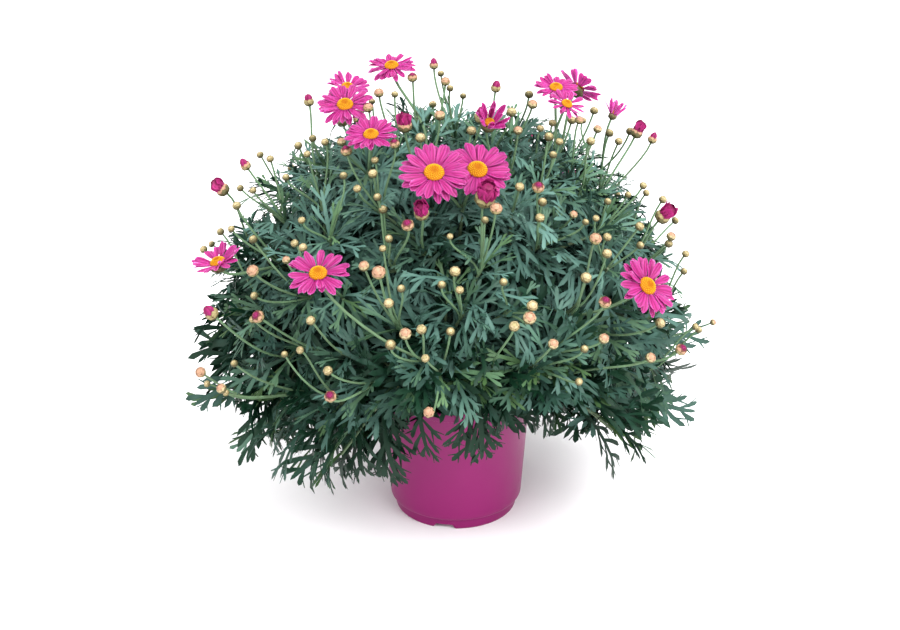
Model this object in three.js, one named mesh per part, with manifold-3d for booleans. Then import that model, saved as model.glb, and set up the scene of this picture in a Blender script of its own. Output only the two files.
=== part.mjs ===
// Potted marguerite daisy (Argyranthemum) in a round plastic nursery pot.
// Millimetres, +Z up, the viewer's side is -Y. The origin lies under the middle of the pot, on
// the surface that it stands on.
//
// The pot holds a plug of compost with plain holes, and one leafy stem stands in each hole. A
// leafy stem runs up through the bare, hollow middle of the bush to a low, lumpy core, from which
// shoots with cut leaves and a small bud each stand out. Flowering stalks grow from the cores
// too. The pink rays, the yellow discs and the heads that show pink are pieces of their own.
import * as THREE from "three";
import { mergeVertices } from "three/addons/utils/BufferGeometryUtils.js";
import Module from "manifold-3d";

const wasm = await Module();
wasm.setup();

const GAP = 0.3; // clearance between two pieces that touch
const CLEAR = 0.4; // least distance from a leaf to anything but its own shoot
const BLADE = 0.8; // thickness of leaves and petals

const POT = {
  height: 119,
  rimRadius: 66,
  rimDepth: 8,
  wallTopRadius: 64.6,
  wallFootRadius: 57.7,
  bandRadius: 53.2,
  bandHeight: 10,
  wall: 1.6,
  floorTop: 6,
  underside: 2.5,
  footWidth: 5,
  sides: 32,
};
const NOTCH = { count: 3, firstAzimuth: -101, width: 22, topWidth: 14, height: 4.2 };
const DRAIN = { count: 6, radius: 4, ring: 34, sides: 8 };
const COMPOST = { top: 107, crown: 2.5, sides: 24, holeDepth: 32, holeSlack: 0.5, holeSides: 6 };

// The bush: its centre, and the distances from there to its leaf tips along x, y and z. Below,
// the leaf tips end above a cone that rises outwards.
const BUSH = { centre: new THREE.Vector3(-8, 0, 140), reach: new THREE.Vector3(215, 210, 218) };
const UNDERSIDE = { radius: 90, height: 76, slope: 0.42 };

// Shares are parts of the distance from the centre of the bush to its leaf tips. A cap of
// directions reaches down to the height "lowest" on a ball of radius 1.
const STEMS = { count: 12, lowest: -0.08, turn: 20, footRadius: 2.9, tipRadius: 2, sides: 5 };
const CORE = { share: 0.57, width: 70, depth: 34, bump: 0.16, foot: 112 };
const SHOOTS = { count: 32, lowest: -0.12, turn: 64, knee: 0.82, tip: [1.05, 1.11], lean: 16 };
const SHOOT_RADII = { foot: 2.4, middle: 1.8, neck: 0.8, bud: [3, 3.9] };
const STALK_RADII = { foot: 1.4, middle: 1.1 };
const ROOTING = { pull: 0.45, share: 0.6 };

// Leaves: lengths at the top and at the side of the bush, and how the lobes are set. The first
// of a shoot's leaves stands steepest and lowest, and each turns on by the golden angle.
const LEAVES = { count: 4, lengths: [62, 69], spread: 0.12, firstTilt: 40, tiltStep: 12, tiltSpread: 8 };
const LEAF_SEAT = { first: 0.4, middle: 0.51, step: 0.07, root: 1.1 };
const LEAF_BEND = { sag: [0.14, 0.34], out: 0.12, steepest: -0.4 };
const LEAF_SHAPE = { width: 0.74, rib: 0.045, lobePairs: 2, firstLobe: 0.3, lastLobe: 0.7, lobeRise: 0.26 };
const TWISTS = [0, 40, -40, 80, -80, 120]; // turns tried until a leaf is clear
const GOLDEN_ANGLE = 137.508;

// Heads, placed from the centre of the bush: azimuth (0 is right, -90 is front), rise above the
// horizontal and distance. Then the head's diameter, the azimuth and rise that it faces, and on
// an open bloom the number of petals.
const BLOOMS = [
  { azimuth: -94, rise: 59, distance: 251, diameter: 50, faces: [-84, 57], petals: 16 },
  { azimuth: -78, rise: 62, distance: 238, diameter: 52, faces: [-76, 59], petals: 15 },
  { azimuth: -119, rise: 38, distance: 246, diameter: 45, faces: [-98, 66], petals: 12 },
  { azimuth: -44, rise: 32, distance: 247, diameter: 47, faces: [-47, 42], petals: 15 },
  { azimuth: -148, rise: 33, distance: 247, diameter: 42, faces: [-162, 72], petals: 12 },
  { azimuth: -158, rise: 70, distance: 251, diameter: 42, faces: [-92, 65], petals: 16 },
  { azimuth: 163, rise: 70, distance: 247, diameter: 38, faces: [-60, 68], petals: 10 },
  { azimuth: -124, rise: 66, distance: 251, diameter: 40, faces: [-101, 70], petals: 12 },
  { azimuth: 134, rise: 75, distance: 252, diameter: 39, faces: [-110, 74], petals: 12 },
  { azimuth: -2, rise: 70, distance: 256, diameter: 35, faces: [-80, 74], petals: 12 },
  { azimuth: 21, rise: 63, distance: 254, diameter: 40, faces: [52, 32], petals: 10 },
  { azimuth: -22, rise: 67, distance: 259, diameter: 32, faces: [-50, 62], petals: 9 },
  { azimuth: 60, rise: 21, distance: 250, diameter: 46, faces: [62, 40], petals: 12 },
  { azimuth: 112, rise: 23, distance: 250, diameter: 44, faces: [106, 44], petals: 12 },
  { azimuth: 126, rise: 5, distance: 246, diameter: 47, faces: [126, 30], petals: 12 },
  { azimuth: 88, rise: 8, distance: 246, diameter: 45, faces: [90, 30], petals: 12 },
];
const RAYS = { innerShare: 0.36, tipSpread: 0.08, halfTurn: 0.34, lift: 0.1, liftSpread: 0.06 };
const DISC = { share: 0.31, sides: 7 };

// Heads that show pink: half-open ones with a crown of raised petals, and closed ones.
const PINK_HEADS = [
  { azimuth: -66, rise: 71, distance: 250, diameter: 15, length: 15, faces: [-70, 72] },
  { azimuth: 8, rise: 57, distance: 254, diameter: 15, length: 14, faces: [8, 66] },
  { azimuth: -78, rise: 55, distance: 246, diameter: 14, length: 15, faces: [-70, 30] },
  { azimuth: -97, rise: 52, distance: 246, diameter: 12, length: 15, faces: [-100, 55] },
  { azimuth: -25, rise: 41, distance: 249, diameter: 12, length: 14, faces: [-30, 50] },
  { azimuth: 15, rise: 49, distance: 253, diameter: 10, length: 15, faces: [12, 66], closed: true },
  { azimuth: -113, rise: 71, distance: 251, diameter: 10, length: 15, faces: [-110, 82], closed: true },
  { azimuth: -171, rise: 42, distance: 249, diameter: 11, length: 15, faces: [-172, 44], closed: true },
  { azimuth: 120, rise: 40, distance: 249, diameter: 11, length: 15, faces: [120, 60], closed: true },
];
// The larger green buds, on stalks of their own. The others stand on the shoots.
const GREEN_HEADS = [
  { azimuth: 173, rise: 63, distance: 252, diameter: 9 },
  { azimuth: -166, rise: 49, distance: 251, diameter: 8.5 },
  { azimuth: 107, rise: 82, distance: 253, diameter: 8 },
  { azimuth: -34, rise: 79, distance: 252, diameter: 8 },
  { azimuth: 13, rise: 46, distance: 254, diameter: 8 },
  { azimuth: -143, rise: 25, distance: 247, diameter: 10 },
  { azimuth: -106, rise: 40, distance: 246, diameter: 9.5 },
  { azimuth: -100, rise: 49, distance: 247, diameter: 9 },
  { azimuth: -53, rise: 43, distance: 247, diameter: 9 },
  { azimuth: -40, rise: 19, distance: 247, diameter: 9 },
  { azimuth: -73, rise: 32, distance: 245, diameter: 9.5 },
  { azimuth: -142, rise: 14, distance: 246, diameter: 8 },
];

const LEAF_GREEN = { color: 0x3f6350, roughness: 0.7, metalness: 0 };
const PETAL_PINK = { color: 0xe0379f, roughness: 0.6, metalness: 0 };
const BUD_PINK = { color: 0xb02566, roughness: 0.6, metalness: 0 };
const DISC_YELLOW = { color: 0xf0b020, roughness: 0.8, metalness: 0 };
const POT_MAGENTA = { color: 0xa8357a, roughness: 0.5, metalness: 0 };
const COMPOST_BROWN = { color: 0x2e221b, roughness: 1, metalness: 0 };

const radians = THREE.MathUtils.degToRad;
const mix = THREE.MathUtils.lerp;
const UP = new THREE.Vector3(0, 0, 1);
const UPRIGHT = new THREE.Matrix4().makeRotationX(Math.PI / 2);
const twoDigits = (n) => String(n).padStart(2, "0");
const points = (list) => list.map(([x, y]) => new THREE.Vector2(x, y));

// A fixed number from 0 to 1 for each pair of whole numbers, the same on every run.
function chance(i, j) {
  const wave = Math.sin(i * 12.9898 + j * 78.233) * 43758.5453;
  return wave - Math.floor(wave);
}

function direction(azimuth, rise) {
  const a = radians(azimuth);
  const r = radians(rise);
  return new THREE.Vector3(Math.cos(r) * Math.cos(a), Math.cos(r) * Math.sin(a), Math.sin(r));
}

// Direction number i of an even spread over a cap round straight up.
function spread(i, { count, lowest, turn }) {
  const height = 1 - ((i + 0.5) * (1 - lowest)) / count;
  return direction(turn + i * GOLDEN_ANGLE, THREE.MathUtils.radToDeg(Math.asin(height)));
}

// The point of the bush in a direction, at a share of the distance to its leaf tips.
function inBush(toward, share) {
  const length = 1 / toward.clone().divide(BUSH.reach).length();
  return BUSH.centre.clone().addScaledVector(toward, length * share);
}

// From a three.js geometry to a solid for cuts and joins, and back to a mesh.
function welded(geometry) {
  const bare = geometry.clone();
  for (const name of Object.keys(bare.attributes)) {
    if (name !== "position") bare.deleteAttribute(name);
  }
  return mergeVertices(bare, 1e-3);
}

function solid(geometry, matrix = new THREE.Matrix4()) {
  const merged = welded(geometry).applyMatrix4(matrix);
  const corners = merged.index.array;
  const triVerts = [];
  for (let i = 0; i < corners.length; i += 3) {
    const [a, b, c] = corners.slice(i, i + 3);
    if (a !== b && b !== c && c !== a) triVerts.push(a, b, c);
  }
  const vertProperties = merged.attributes.position.array;
  const shape = { numProp: 3, vertProperties, triVerts: new Uint32Array(triVerts) };
  return new wasm.Manifold(new wasm.Mesh(shape));
}

function meshOf(name, shape, look) {
  const { vertProperties, triVerts } = shape.getMesh();
  const geometry = new THREE.BufferGeometry();
  geometry.setAttribute("position", new THREE.BufferAttribute(vertProperties, 3));
  geometry.setIndex(new THREE.BufferAttribute(triVerts, 1));
  geometry.computeVertexNormals();
  const mesh = new THREE.Mesh(geometry, new THREE.MeshStandardMaterial(look));
  mesh.name = name;
  return mesh;
}

// A lathed stalk, bent so that its axis follows a curve. Its profile holds radii and shares of
// the curve's length, from the foot to the tip.
function bentLathe(curve, profile, sides) {
  const lathe = new THREE.LatheGeometry(points(profile), sides);
  const at = lathe.attributes.position;
  const slant = new THREE.Vector3(0.31, 0.95, 0.05);
  for (let i = 0; i < at.count; i++) {
    const share = THREE.MathUtils.clamp(at.getY(i), 0, 1);
    const along = curve.getTangent(share);
    const side = slant.clone().cross(along).normalize();
    const other = along.clone().cross(side);
    const p = curve.getPoint(share).addScaledVector(side, at.getZ(i)).addScaledVector(other, at.getX(i));
    at.setXYZ(i, p.x, p.y, p.z);
  }
  return lathe;
}

// Pot: one thin moulded wall with a rim, stepped in at the foot. The foot ring has notches, and
// the floor has drain holes.
function makePot() {
  const p = POT;
  const footEdge = p.bandRadius - p.footWidth;
  const rimFoot = p.height - p.rimDepth;
  const outline = points([
    [0, p.underside],
    [footEdge, p.underside],
    [footEdge + 1.5, 0],
    [p.bandRadius - 1, 0],
    [p.bandRadius, 1],
    [p.bandRadius + 0.5, p.bandHeight - 1],
    [p.wallFootRadius, p.bandHeight + 0.8],
    [p.wallTopRadius, rimFoot],
    [p.rimRadius, rimFoot],
    [p.rimRadius, p.height - 0.6],
    [p.rimRadius - 0.6, p.height],
    [p.rimRadius - p.wall - 0.6, p.height],
    [p.wallTopRadius - p.wall, rimFoot],
    [p.wallFootRadius - p.wall, p.bandHeight + p.wall],
    [p.bandRadius - p.wall, p.floorTop + 2],
    [p.bandRadius - p.wall - 2, p.floorTop],
    [0, p.floorTop],
  ]);
  let pot = solid(new THREE.LatheGeometry(outline, p.sides), UPRIGHT);

  const below = -1;
  const notch = new THREE.Shape(
    points([
      [-NOTCH.width / 2, below],
      [NOTCH.width / 2, below],
      [NOTCH.topWidth / 2, NOTCH.height],
      [-NOTCH.topWidth / 2, NOTCH.height],
    ]),
  );
  const cutter = new THREE.ExtrudeGeometry(notch, { depth: 2 * p.footWidth, bevelEnabled: false });
  cutter.rotateX(Math.PI / 2).translate(0, 1.5 * p.footWidth - p.bandRadius, 0);
  for (let i = 0; i < NOTCH.count; i++) {
    const turn = radians(NOTCH.firstAzimuth + 90 + (i * 360) / NOTCH.count);
    pot = pot.subtract(solid(cutter, new THREE.Matrix4().makeRotationZ(turn)));
  }
  const drill = new THREE.CylinderGeometry(DRAIN.radius, DRAIN.radius, 4 * p.floorTop, DRAIN.sides);
  drill.rotateX(Math.PI / 2).translate(DRAIN.ring, 0, 0);
  for (let i = 0; i < DRAIN.count; i++) {
    const turn = (i * 2 * Math.PI) / DRAIN.count;
    pot = pot.subtract(solid(drill, new THREE.Matrix4().makeRotationZ(turn)));
  }
  return pot;
}

// Compost: a firm plug, a little crowned, that fills the pot to below its rim. It has a plain
// hole for each stem.
function makeCompost() {
  const p = POT;
  const clear = p.wall + GAP;
  const wallFoot = p.wallFootRadius - clear;
  const rise = (COMPOST.top - p.bandHeight) / (p.height - p.rimDepth - p.bandHeight);
  const topRadius = mix(p.wallFootRadius, p.wallTopRadius, rise) - clear;
  const outline = points([
    [0, p.floorTop + GAP],
    [p.bandRadius - clear - 2, p.floorTop + GAP],
    [p.bandRadius - clear, p.floorTop + 2.2],
    [wallFoot - 0.2, p.bandHeight + p.wall],
    [topRadius, COMPOST.top],
    [0.55 * topRadius, COMPOST.top + 0.8 * COMPOST.crown],
    [0, COMPOST.top + COMPOST.crown],
  ]);
  let plug = solid(new THREE.LatheGeometry(outline, COMPOST.sides), UPRIGHT);
  const radius = STEMS.footRadius + COMPOST.holeSlack;
  const length = 2 * COMPOST.holeDepth;
  const drill = new THREE.CylinderGeometry(radius, radius, length, COMPOST.holeSides);
  drill.rotateX(Math.PI / 2).translate(0, 0, length / 2 - GAP);
  for (const toward of stemDirections) {
    const { x, y, z } = stemCurve(toward).getPoint(0);
    plug = plug.subtract(solid(drill, new THREE.Matrix4().makeTranslation(x, y, z)));
  }
  return plug;
}

const stemDirections = Array.from({ length: STEMS.count }, (_, i) => spread(i, STEMS));

// The number of the stem whose part of the bush lies in a direction.
function stemAt(toward) {
  const nearness = stemDirections.map((d) => d.dot(toward));
  return nearness.indexOf(Math.max(...nearness));
}

// What grows in a direction roots nearer to the middle of that core, clear of its edge.
function rootOf(toward) {
  const middle = stemDirections[stemAt(toward)];
  return inBush(toward.clone().lerp(middle, ROOTING.pull).normalize(), ROOTING.share);
}

// Stems: each goes straight up out of the compost and bends out to its own core. Those of the
// top of the bush stand in the middle, the others round them.
function stemCurve(toward) {
  const level = Math.hypot(toward.x, toward.y);
  const out = new THREE.Vector3(toward.x, toward.y, 0).normalize();
  const hole = out.clone().multiplyScalar(mix(7, 24, level));
  const foot = hole.clone().setZ(COMPOST.top + COMPOST.crown - COMPOST.holeDepth);
  const neck = hole.clone().setZ(COMPOST.top + 6);
  const elbow = hole.clone().addScaledVector(out, 6 + 22 * level).setZ(mix(175, 150, level));
  const path = new THREE.CurvePath();
  path.add(new THREE.LineCurve3(foot, neck));
  path.add(new THREE.QuadraticBezierCurve3(neck, elbow, inBush(toward, CORE.share)));
  return path;
}

function makeStem(toward) {
  const { footRadius, tipRadius, sides } = STEMS;
  const curve = stemCurve(toward);
  const bend = curve.curves[0].getLength() / curve.getLength();
  const profile = [
    [0, 0],
    [footRadius, 0],
    [footRadius, bend],
    [mix(footRadius, tipRadius, 0.5), mix(bend, 1, 0.45)],
    [tipRadius, 1],
    [0, 1],
  ];
  return solid(bentLathe(curve, profile, sides));
}

// Core: the lumpy, densest part of a leafy stem, cut back half-way to its neighbours.
function makeCore(toward, stem) {
  const ball = welded(new THREE.IcosahedronGeometry(1, 1));
  const at = ball.attributes.position;
  for (let i = 0; i < at.count; i++) {
    const lump = 1 + CORE.bump * (2 * chance(stem, i) - 1);
    const wide = lump * CORE.width;
    at.setXYZ(i, wide * at.getX(i), wide * at.getY(i), lump * CORE.depth * at.getZ(i));
  }
  const turned = new THREE.Quaternion().setFromUnitVectors(UP, toward);
  const one = new THREE.Vector3(1, 1, 1);
  let core = solid(ball, new THREE.Matrix4().compose(inBush(toward, CORE.share), turned, one));
  for (const other of stemDirections.filter((d) => d !== toward)) {
    const away = toward.clone().sub(other).normalize();
    core = core.trimByPlane(away.toArray(), away.dot(BUSH.centre) + GAP);
  }
  return core.trimByPlane([0, 0, 1], CORE.foot);
}

// Shoots: each stands out of a core, carries a few leaves and ends in a small bud.
function shootFrame(i) {
  const toward = spread(i, SHOOTS);
  const low = 1 - THREE.MathUtils.smoothstep(toward.z, -0.1, 0.75);
  const east = UP.clone().cross(toward).normalize();
  const north = toward.clone().cross(east);
  return { toward, low, east, north };
}

function shootCurve(i) {
  const { toward, east, north } = shootFrame(i);
  const lean = direction(360 * chance(i, 3), 0).multiplyScalar(SHOOTS.lean);
  const tip = inBush(toward, mix(...SHOOTS.tip, chance(i, 1)));
  tip.addScaledVector(east, lean.x).addScaledVector(north, lean.y);
  return new THREE.QuadraticBezierCurve3(rootOf(toward), inBush(toward, SHOOTS.knee), tip);
}

function makeShoot(i) {
  const curve = shootCurve(i);
  const bud = mix(...SHOOT_RADII.bud, chance(i, 2));
  const share = bud / curve.getLength();
  const profile = [
    [0, 0],
    [SHOOT_RADII.foot, 0],
    [SHOOT_RADII.middle, LEAF_SEAT.middle],
    [SHOOT_RADII.neck, 1 - 1.9 * share],
    [bud, 1 - share],
    [0, 1],
  ];
  return solid(bentLathe(curve, profile, 4));
}

// Where leaf k of shoot i starts and points, how it bends on its way and how large it is.
function leafOf(i, k, twist) {
  const { toward, low, east, north } = shootFrame(i);
  const turn = radians(360 * chance(i, 7) + k * GOLDEN_ANGLE + twist);
  const outward = east.clone().multiplyScalar(Math.cos(turn)).addScaledVector(north, Math.sin(turn));
  const tilt = radians(LEAVES.firstTilt + LEAVES.tiltStep * k + LEAVES.tiltSpread * chance(i, 10 + k));
  const along = toward.clone().multiplyScalar(Math.cos(tilt)).addScaledVector(outward, Math.sin(tilt));
  along.setZ(Math.max(along.z, LEAF_BEND.steepest)).normalize();
  const vary = mix(1 - LEAVES.spread, 1 + LEAVES.spread, chance(i, 20 + k));
  const length = mix(...LEAVES.lengths, low) * vary;
  const base = shootCurve(i).getPoint(LEAF_SEAT.first + LEAF_SEAT.step * k);
  const bend = outward.clone().multiplyScalar(LEAF_BEND.out);
  bend.z -= mix(...LEAF_BEND.sag, low);
  const tip = base.clone().addScaledVector(along, length).addScaledVector(bend, length);
  const out = Math.hypot(tip.x, tip.y) - UNDERSIDE.radius;
  bend.z += Math.max(0, UNDERSIDE.height + UNDERSIDE.slope * out - tip.z) / length;
  return { base, along, bend, across: toward.clone().cross(outward).normalize(), length };
}

// Leaf: an outline with pairs of forward-pointing lobes, made a thin blade and bent. Its root is
// a point inside the shoot.
function makeLeaf({ base, along, bend, across, length }) {
  const { width, rib, lobePairs, firstLobe, lastLobe, lobeRise } = LEAF_SHAPE;
  const right = [];
  for (let i = 0; i < lobePairs; i++) {
    const start = mix(firstLobe, lastLobe, i / lobePairs);
    const reach = (width / 2) * mix(1, 0.7, i / lobePairs);
    right.push([rib * length, start * length], [reach * length, (start + lobeRise) * length]);
  }
  right.push([rib * length, lastLobe * length]);
  const left = right.map(([x, y]) => [-x, y]).reverse();
  const shape = new THREE.Shape(points([[0, -LEAF_SEAT.root], ...right, [0, length], ...left]));
  const blade = new THREE.ExtrudeGeometry(shape, { depth: BLADE, bevelEnabled: false });
  const at = blade.attributes.position;
  for (let i = 0; i < at.count; i++) {
    const s = at.getY(i) / length;
    const tangent = along.clone().addScaledVector(bend, 2 * s).normalize();
    const wide = across.clone().addScaledVector(tangent, -across.dot(tangent)).normalize();
    const p = base.clone().addScaledVector(along, length * s).addScaledVector(bend, length * s * s);
    p.addScaledVector(wide, at.getX(i));
    p.addScaledVector(wide.cross(tangent), at.getZ(i) - BLADE / 2);
    at.setXYZ(i, p.x, p.y, p.z);
  }
  return solid(blade);
}

// Heads: a stalk runs from the core to the head and turns to where the head faces.
function stalkOf(head) {
  const toward = direction(head.azimuth, head.rise);
  const top = BUSH.centre.clone().addScaledVector(toward, head.distance);
  const facing = head.faces ? direction(...head.faces) : toward;
  const foot = rootOf(toward);
  const reach = top.distanceTo(foot);
  const rising = foot.clone().addScaledVector(toward, 0.4 * reach);
  const turning = top.clone().addScaledVector(facing, -0.3 * reach);
  const curve = new THREE.CubicBezierCurve3(foot, rising, turning, top);
  return { toward, top, facing, curve, length: curve.getLength() };
}

// The stalk of a bloom or a pink head ends in a green cup, flat on top, that carries the petals.
function makeCup(head, radius, height) {
  const { curve, length } = stalkOf(head);
  const profile = [
    [0, 0],
    [STALK_RADII.foot, 0],
    [STALK_RADII.middle, 0.5],
    [STALK_RADII.middle, 1 - height / length],
    [radius, 1],
    [0, 1],
  ];
  return solid(bentLathe(curve, profile, 5));
}

function makeGreenHead(head) {
  const { curve, length } = stalkOf(head);
  const radius = head.diameter / 2;
  const profile = [
    [0, 0],
    [STALK_RADII.foot, 0],
    [STALK_RADII.middle, 0.5],
    [STALK_RADII.middle, 1 - (1.9 * radius) / length],
    [radius, 1 - radius / length],
    [0, 1],
  ];
  return solid(bentLathe(curve, profile, 5));
}

// Rays: blunt petals, cut apart down to a ring, in one thin plate whose petals rise a little
// towards their tips.
function raysOf(head, bloom) {
  const radius = head.diameter / 2;
  const inner = RAYS.innerShare * radius;
  const step = (2 * Math.PI) / head.petals;
  const polar = (r, a) => [r * Math.cos(a), r * Math.sin(a)];
  const outline = [];
  for (let k = 0; k < head.petals; k++) {
    const tip = radius * (1 - RAYS.tipSpread * chance(40 + bloom, k));
    outline.push(polar(inner, (k - 0.5) * step));
    outline.push(polar(tip, (k - RAYS.halfTurn) * step), polar(tip, (k + RAYS.halfTurn) * step));
  }
  const shape = new THREE.Shape(points(outline));
  const plate = new THREE.ExtrudeGeometry(shape, { depth: BLADE, bevelEnabled: false });
  const at = plate.attributes.position;
  for (let n = 0; n < at.count; n++) {
    const r = Math.hypot(at.getX(n), at.getY(n));
    const petal = Math.round(Math.atan2(at.getY(n), at.getX(n)) / step + head.petals) % head.petals;
    const lift = RAYS.lift + RAYS.liftSpread * (2 * chance(60 + bloom, petal) - 1);
    const out = Math.max(0, r - inner) / (radius - inner);
    at.setZ(n, at.getZ(n) + radius * lift * out);
  }
  return plate;
}

// Disc: a low yellow dome with a dimple in the middle.
function discOf(head) {
  const r = (DISC.share * head.diameter) / 2;
  const outline = points([
    [0, 0],
    [r, 0],
    [0.95 * r, 0.36 * r],
    [0.45 * r, 0.56 * r],
    [0, 0.46 * r],
  ]);
  return new THREE.LatheGeometry(outline, DISC.sides).rotateX(Math.PI / 2);
}

// Pink head: closed, a pointed bud, or half open, a cup whose rim is cut to raised petal tips.
function pinkHeadOf({ diameter, length, closed }) {
  const r = diameter / 2;
  const budOutline = [
    [0, 0],
    [0.72 * r, 0],
    [r, 0.3 * length],
    [0.72 * r, 0.66 * length],
    [0, length],
  ];
  const cupOutline = [
    [0, 0],
    [0.6 * r, 0],
    [r, 0.45 * length],
    [r, length],
    [0.6 * r, 0.62 * length],
    [0, 0.5 * length],
  ];
  const sides = closed ? 6 : 10;
  const head = new THREE.LatheGeometry(points(closed ? budOutline : cupOutline), sides);
  const at = head.attributes.position;
  for (let n = 0; n < at.count && !closed; n++) {
    const side = Math.round((Math.atan2(at.getX(n), at.getZ(n)) / (2 * Math.PI)) * sides + sides);
    if (at.getY(n) > 0.9 * length && side % 2) at.setY(n, 0.72 * length);
  }
  return head.rotateX(Math.PI / 2);
}

// Assembly: the pot and the compost, then the foliage of all stems, then the heads, with each
// solid noted so that the leaves can be kept clear of it.
const plant = new THREE.Group();
plant.name = "potted_marguerite_daisy";
const pot = makePot();
plant.add(meshOf("pot", pot, POT_MAGENTA));
plant.add(meshOf("compost", makeCompost(), COMPOST_BROWN));

const foliage = []; // every green solid, with its stem and, for a shoot, the shoot's number
const grow = (toward, piece, shoot) => foliage.push({ piece, stem: stemAt(toward), shoot });
stemDirections.forEach((toward, i) => {
  grow(toward, makeStem(toward));
  grow(toward, makeCore(toward, i));
});
for (let i = 0; i < SHOOTS.count; i++) grow(shootFrame(i).toward, makeShoot(i), i);

const obstacles = [pot];
function addOnHead(name, head, geometry, lift, spin, look) {
  const { top, facing } = stalkOf(head);
  const mesh = meshOf(name, solid(geometry), look);
  mesh.position.copy(top).addScaledVector(facing, lift);
  mesh.quaternion.setFromUnitVectors(UP, facing);
  mesh.rotateZ(spin);
  mesh.updateMatrix();
  plant.add(mesh);
  obstacles.push(solid(geometry, mesh.matrix));
}
BLOOMS.forEach((head, i) => {
  const name = "bloom_" + twoDigits(i + 1);
  const spin = 2 * Math.PI * chance(i, 5);
  grow(stalkOf(head).toward, makeCup(head, 0.13 * head.diameter, 0.12 * head.diameter));
  addOnHead(name + "_rays", head, raysOf(head, i), GAP, spin, PETAL_PINK);
  addOnHead(name + "_disc", head, discOf(head), BLADE + 2 * GAP, spin, DISC_YELLOW);
});
PINK_HEADS.forEach((head, i) => {
  grow(stalkOf(head).toward, makeCup(head, 0.46 * head.diameter, 0.42 * head.diameter));
  addOnHead("pink_head_" + twoDigits(i + 1), head, pinkHeadOf(head), GAP, 0, BUD_PINK);
});
GREEN_HEADS.forEach((head) => grow(stalkOf(head).toward, makeGreenHead(head)));

// Leaves: each turns round its shoot until it is clear of everything else, and one that finds no
// room is left out.
function crosses(a, b) {
  const p = a.boundingBox();
  const q = b.boundingBox();
  const near = [0, 1, 2].every((n) => p.min[n] < q.max[n] + CLEAR && q.min[n] < p.max[n] + CLEAR);
  return near && a.minGap(b, 2 * CLEAR) < CLEAR;
}
for (let k = 0; k < LEAVES.count; k++) {
  for (let i = 0; i < SHOOTS.count; i++) {
    const around = foliage.filter((f) => f.shoot !== i).map((f) => f.piece);
    const isClear = (leaf) => ![...obstacles, ...around].some((piece) => crosses(leaf, piece));
    const leaf = TWISTS.map((twist) => makeLeaf(leafOf(i, k, twist))).find(isClear);
    if (leaf) grow(shootFrame(i).toward, leaf);
  }
}

stemDirections.forEach((_, i) => {
  const pieces = foliage.filter((f) => f.stem === i).map((f) => f.piece);
  const stem = wasm.Manifold.union(pieces).simplify(0.02);
  plant.add(meshOf("leafy_stem_" + twoDigits(i + 1), stem, LEAF_GREEN));
});

export default plant;
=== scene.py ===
import math

import bpy
import numpy as np
from mathutils import Matrix, Quaternion, Vector


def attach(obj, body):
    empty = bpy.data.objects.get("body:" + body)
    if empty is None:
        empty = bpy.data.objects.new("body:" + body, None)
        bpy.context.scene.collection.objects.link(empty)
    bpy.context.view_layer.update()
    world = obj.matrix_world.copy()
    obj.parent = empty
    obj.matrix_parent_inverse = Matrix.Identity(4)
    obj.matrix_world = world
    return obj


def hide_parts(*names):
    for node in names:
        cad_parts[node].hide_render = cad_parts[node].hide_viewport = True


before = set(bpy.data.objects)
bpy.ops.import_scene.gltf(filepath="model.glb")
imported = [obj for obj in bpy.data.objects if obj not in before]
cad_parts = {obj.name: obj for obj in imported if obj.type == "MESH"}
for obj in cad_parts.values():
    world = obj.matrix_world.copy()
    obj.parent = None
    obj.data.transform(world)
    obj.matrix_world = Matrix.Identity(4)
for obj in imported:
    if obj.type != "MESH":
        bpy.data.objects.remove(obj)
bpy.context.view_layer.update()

# Pot: a thin-walled round nursery pot, moulded in satin magenta plastic. A narrow rim turns out
# at the top, and the wall steps in to a short foot ring with three notches. The floor has
# drain holes.
MM = 0.001
POT_SIDES = 144
POT_OUTLINE = [
    (0, 2.5), (24, 2.5), (48.2, 2.5), (49.2, 1.4), (49.7, 0.4), (50.3, 0), (52.2, 0), (52.9, 0.3),
    (53.2, 1), (53.3, 3), (53.55, 6), (53.7, 8.4), (54, 9.4), (54.8, 10.1), (56.2, 10.5),
    (57.1, 11.1), (57.6, 12.2), (57.9, 16), (60.1, 48), (62.3, 80), (64.4, 108.6), (64.6, 110.6),
    (65.2, 111), (65.8, 111.3), (66, 112), (66, 117.6), (65.8, 118.4), (65.3, 118.9),
    (64.7, 119), (64.2, 118.8), (63.9, 118.2), (63.4, 111.6), (62.9, 108), (60.6, 78),
    (58.4, 46), (56.4, 15), (55.8, 12.4), (53.6, 11.4), (52.2, 9.6), (51.4, 7.2), (49.8, 6), (24, 6),
    (0, 6),
]
NOTCH_WIDTH = (22, 14)
NOTCH_HEIGHT = 4.2
NOTCH_AZIMUTHS = (-101, 19, 139)
NOTCH_DEPTHS = (46.5, 58)
DRAIN_HOLES = 6
DRAIN_RADIUS = 4
DRAIN_RING = 34
PIN_ENDS = (-1, 9)
PIN_SIDES = 20
POT_COLOUR = (0.205, 0.0065, 0.098, 1)
POT_ROUGHNESS = 0.36
POT_SHINE = 0.22
POT_GRAIN = 1400.0
POT_CRISP_ANGLE = 34


def join_in(tree, kind, inputs=None, **settings):
    """A node of that kind, with its settings, and its inputs linked or set."""
    node = tree.nodes.new(kind)
    for key, value in settings.items():
        setattr(node, key, value)
    for key, value in (inputs or {}).items():
        if isinstance(value, bpy.types.NodeSocket):
            tree.links.new(value, node.inputs[key])
        else:
            node.inputs[key].default_value = value
    return node


def new_material(name, roughness, specular=0.5):
    """A material, its node tree and its surface shader."""
    material = bpy.data.materials.new(name)
    material.use_nodes = True
    tree = material.node_tree
    surface = tree.nodes["Principled BSDF"]
    surface.inputs["Roughness"].default_value = roughness
    surface.inputs["Specular IOR Level"].default_value = specular
    return material, tree, surface


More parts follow.
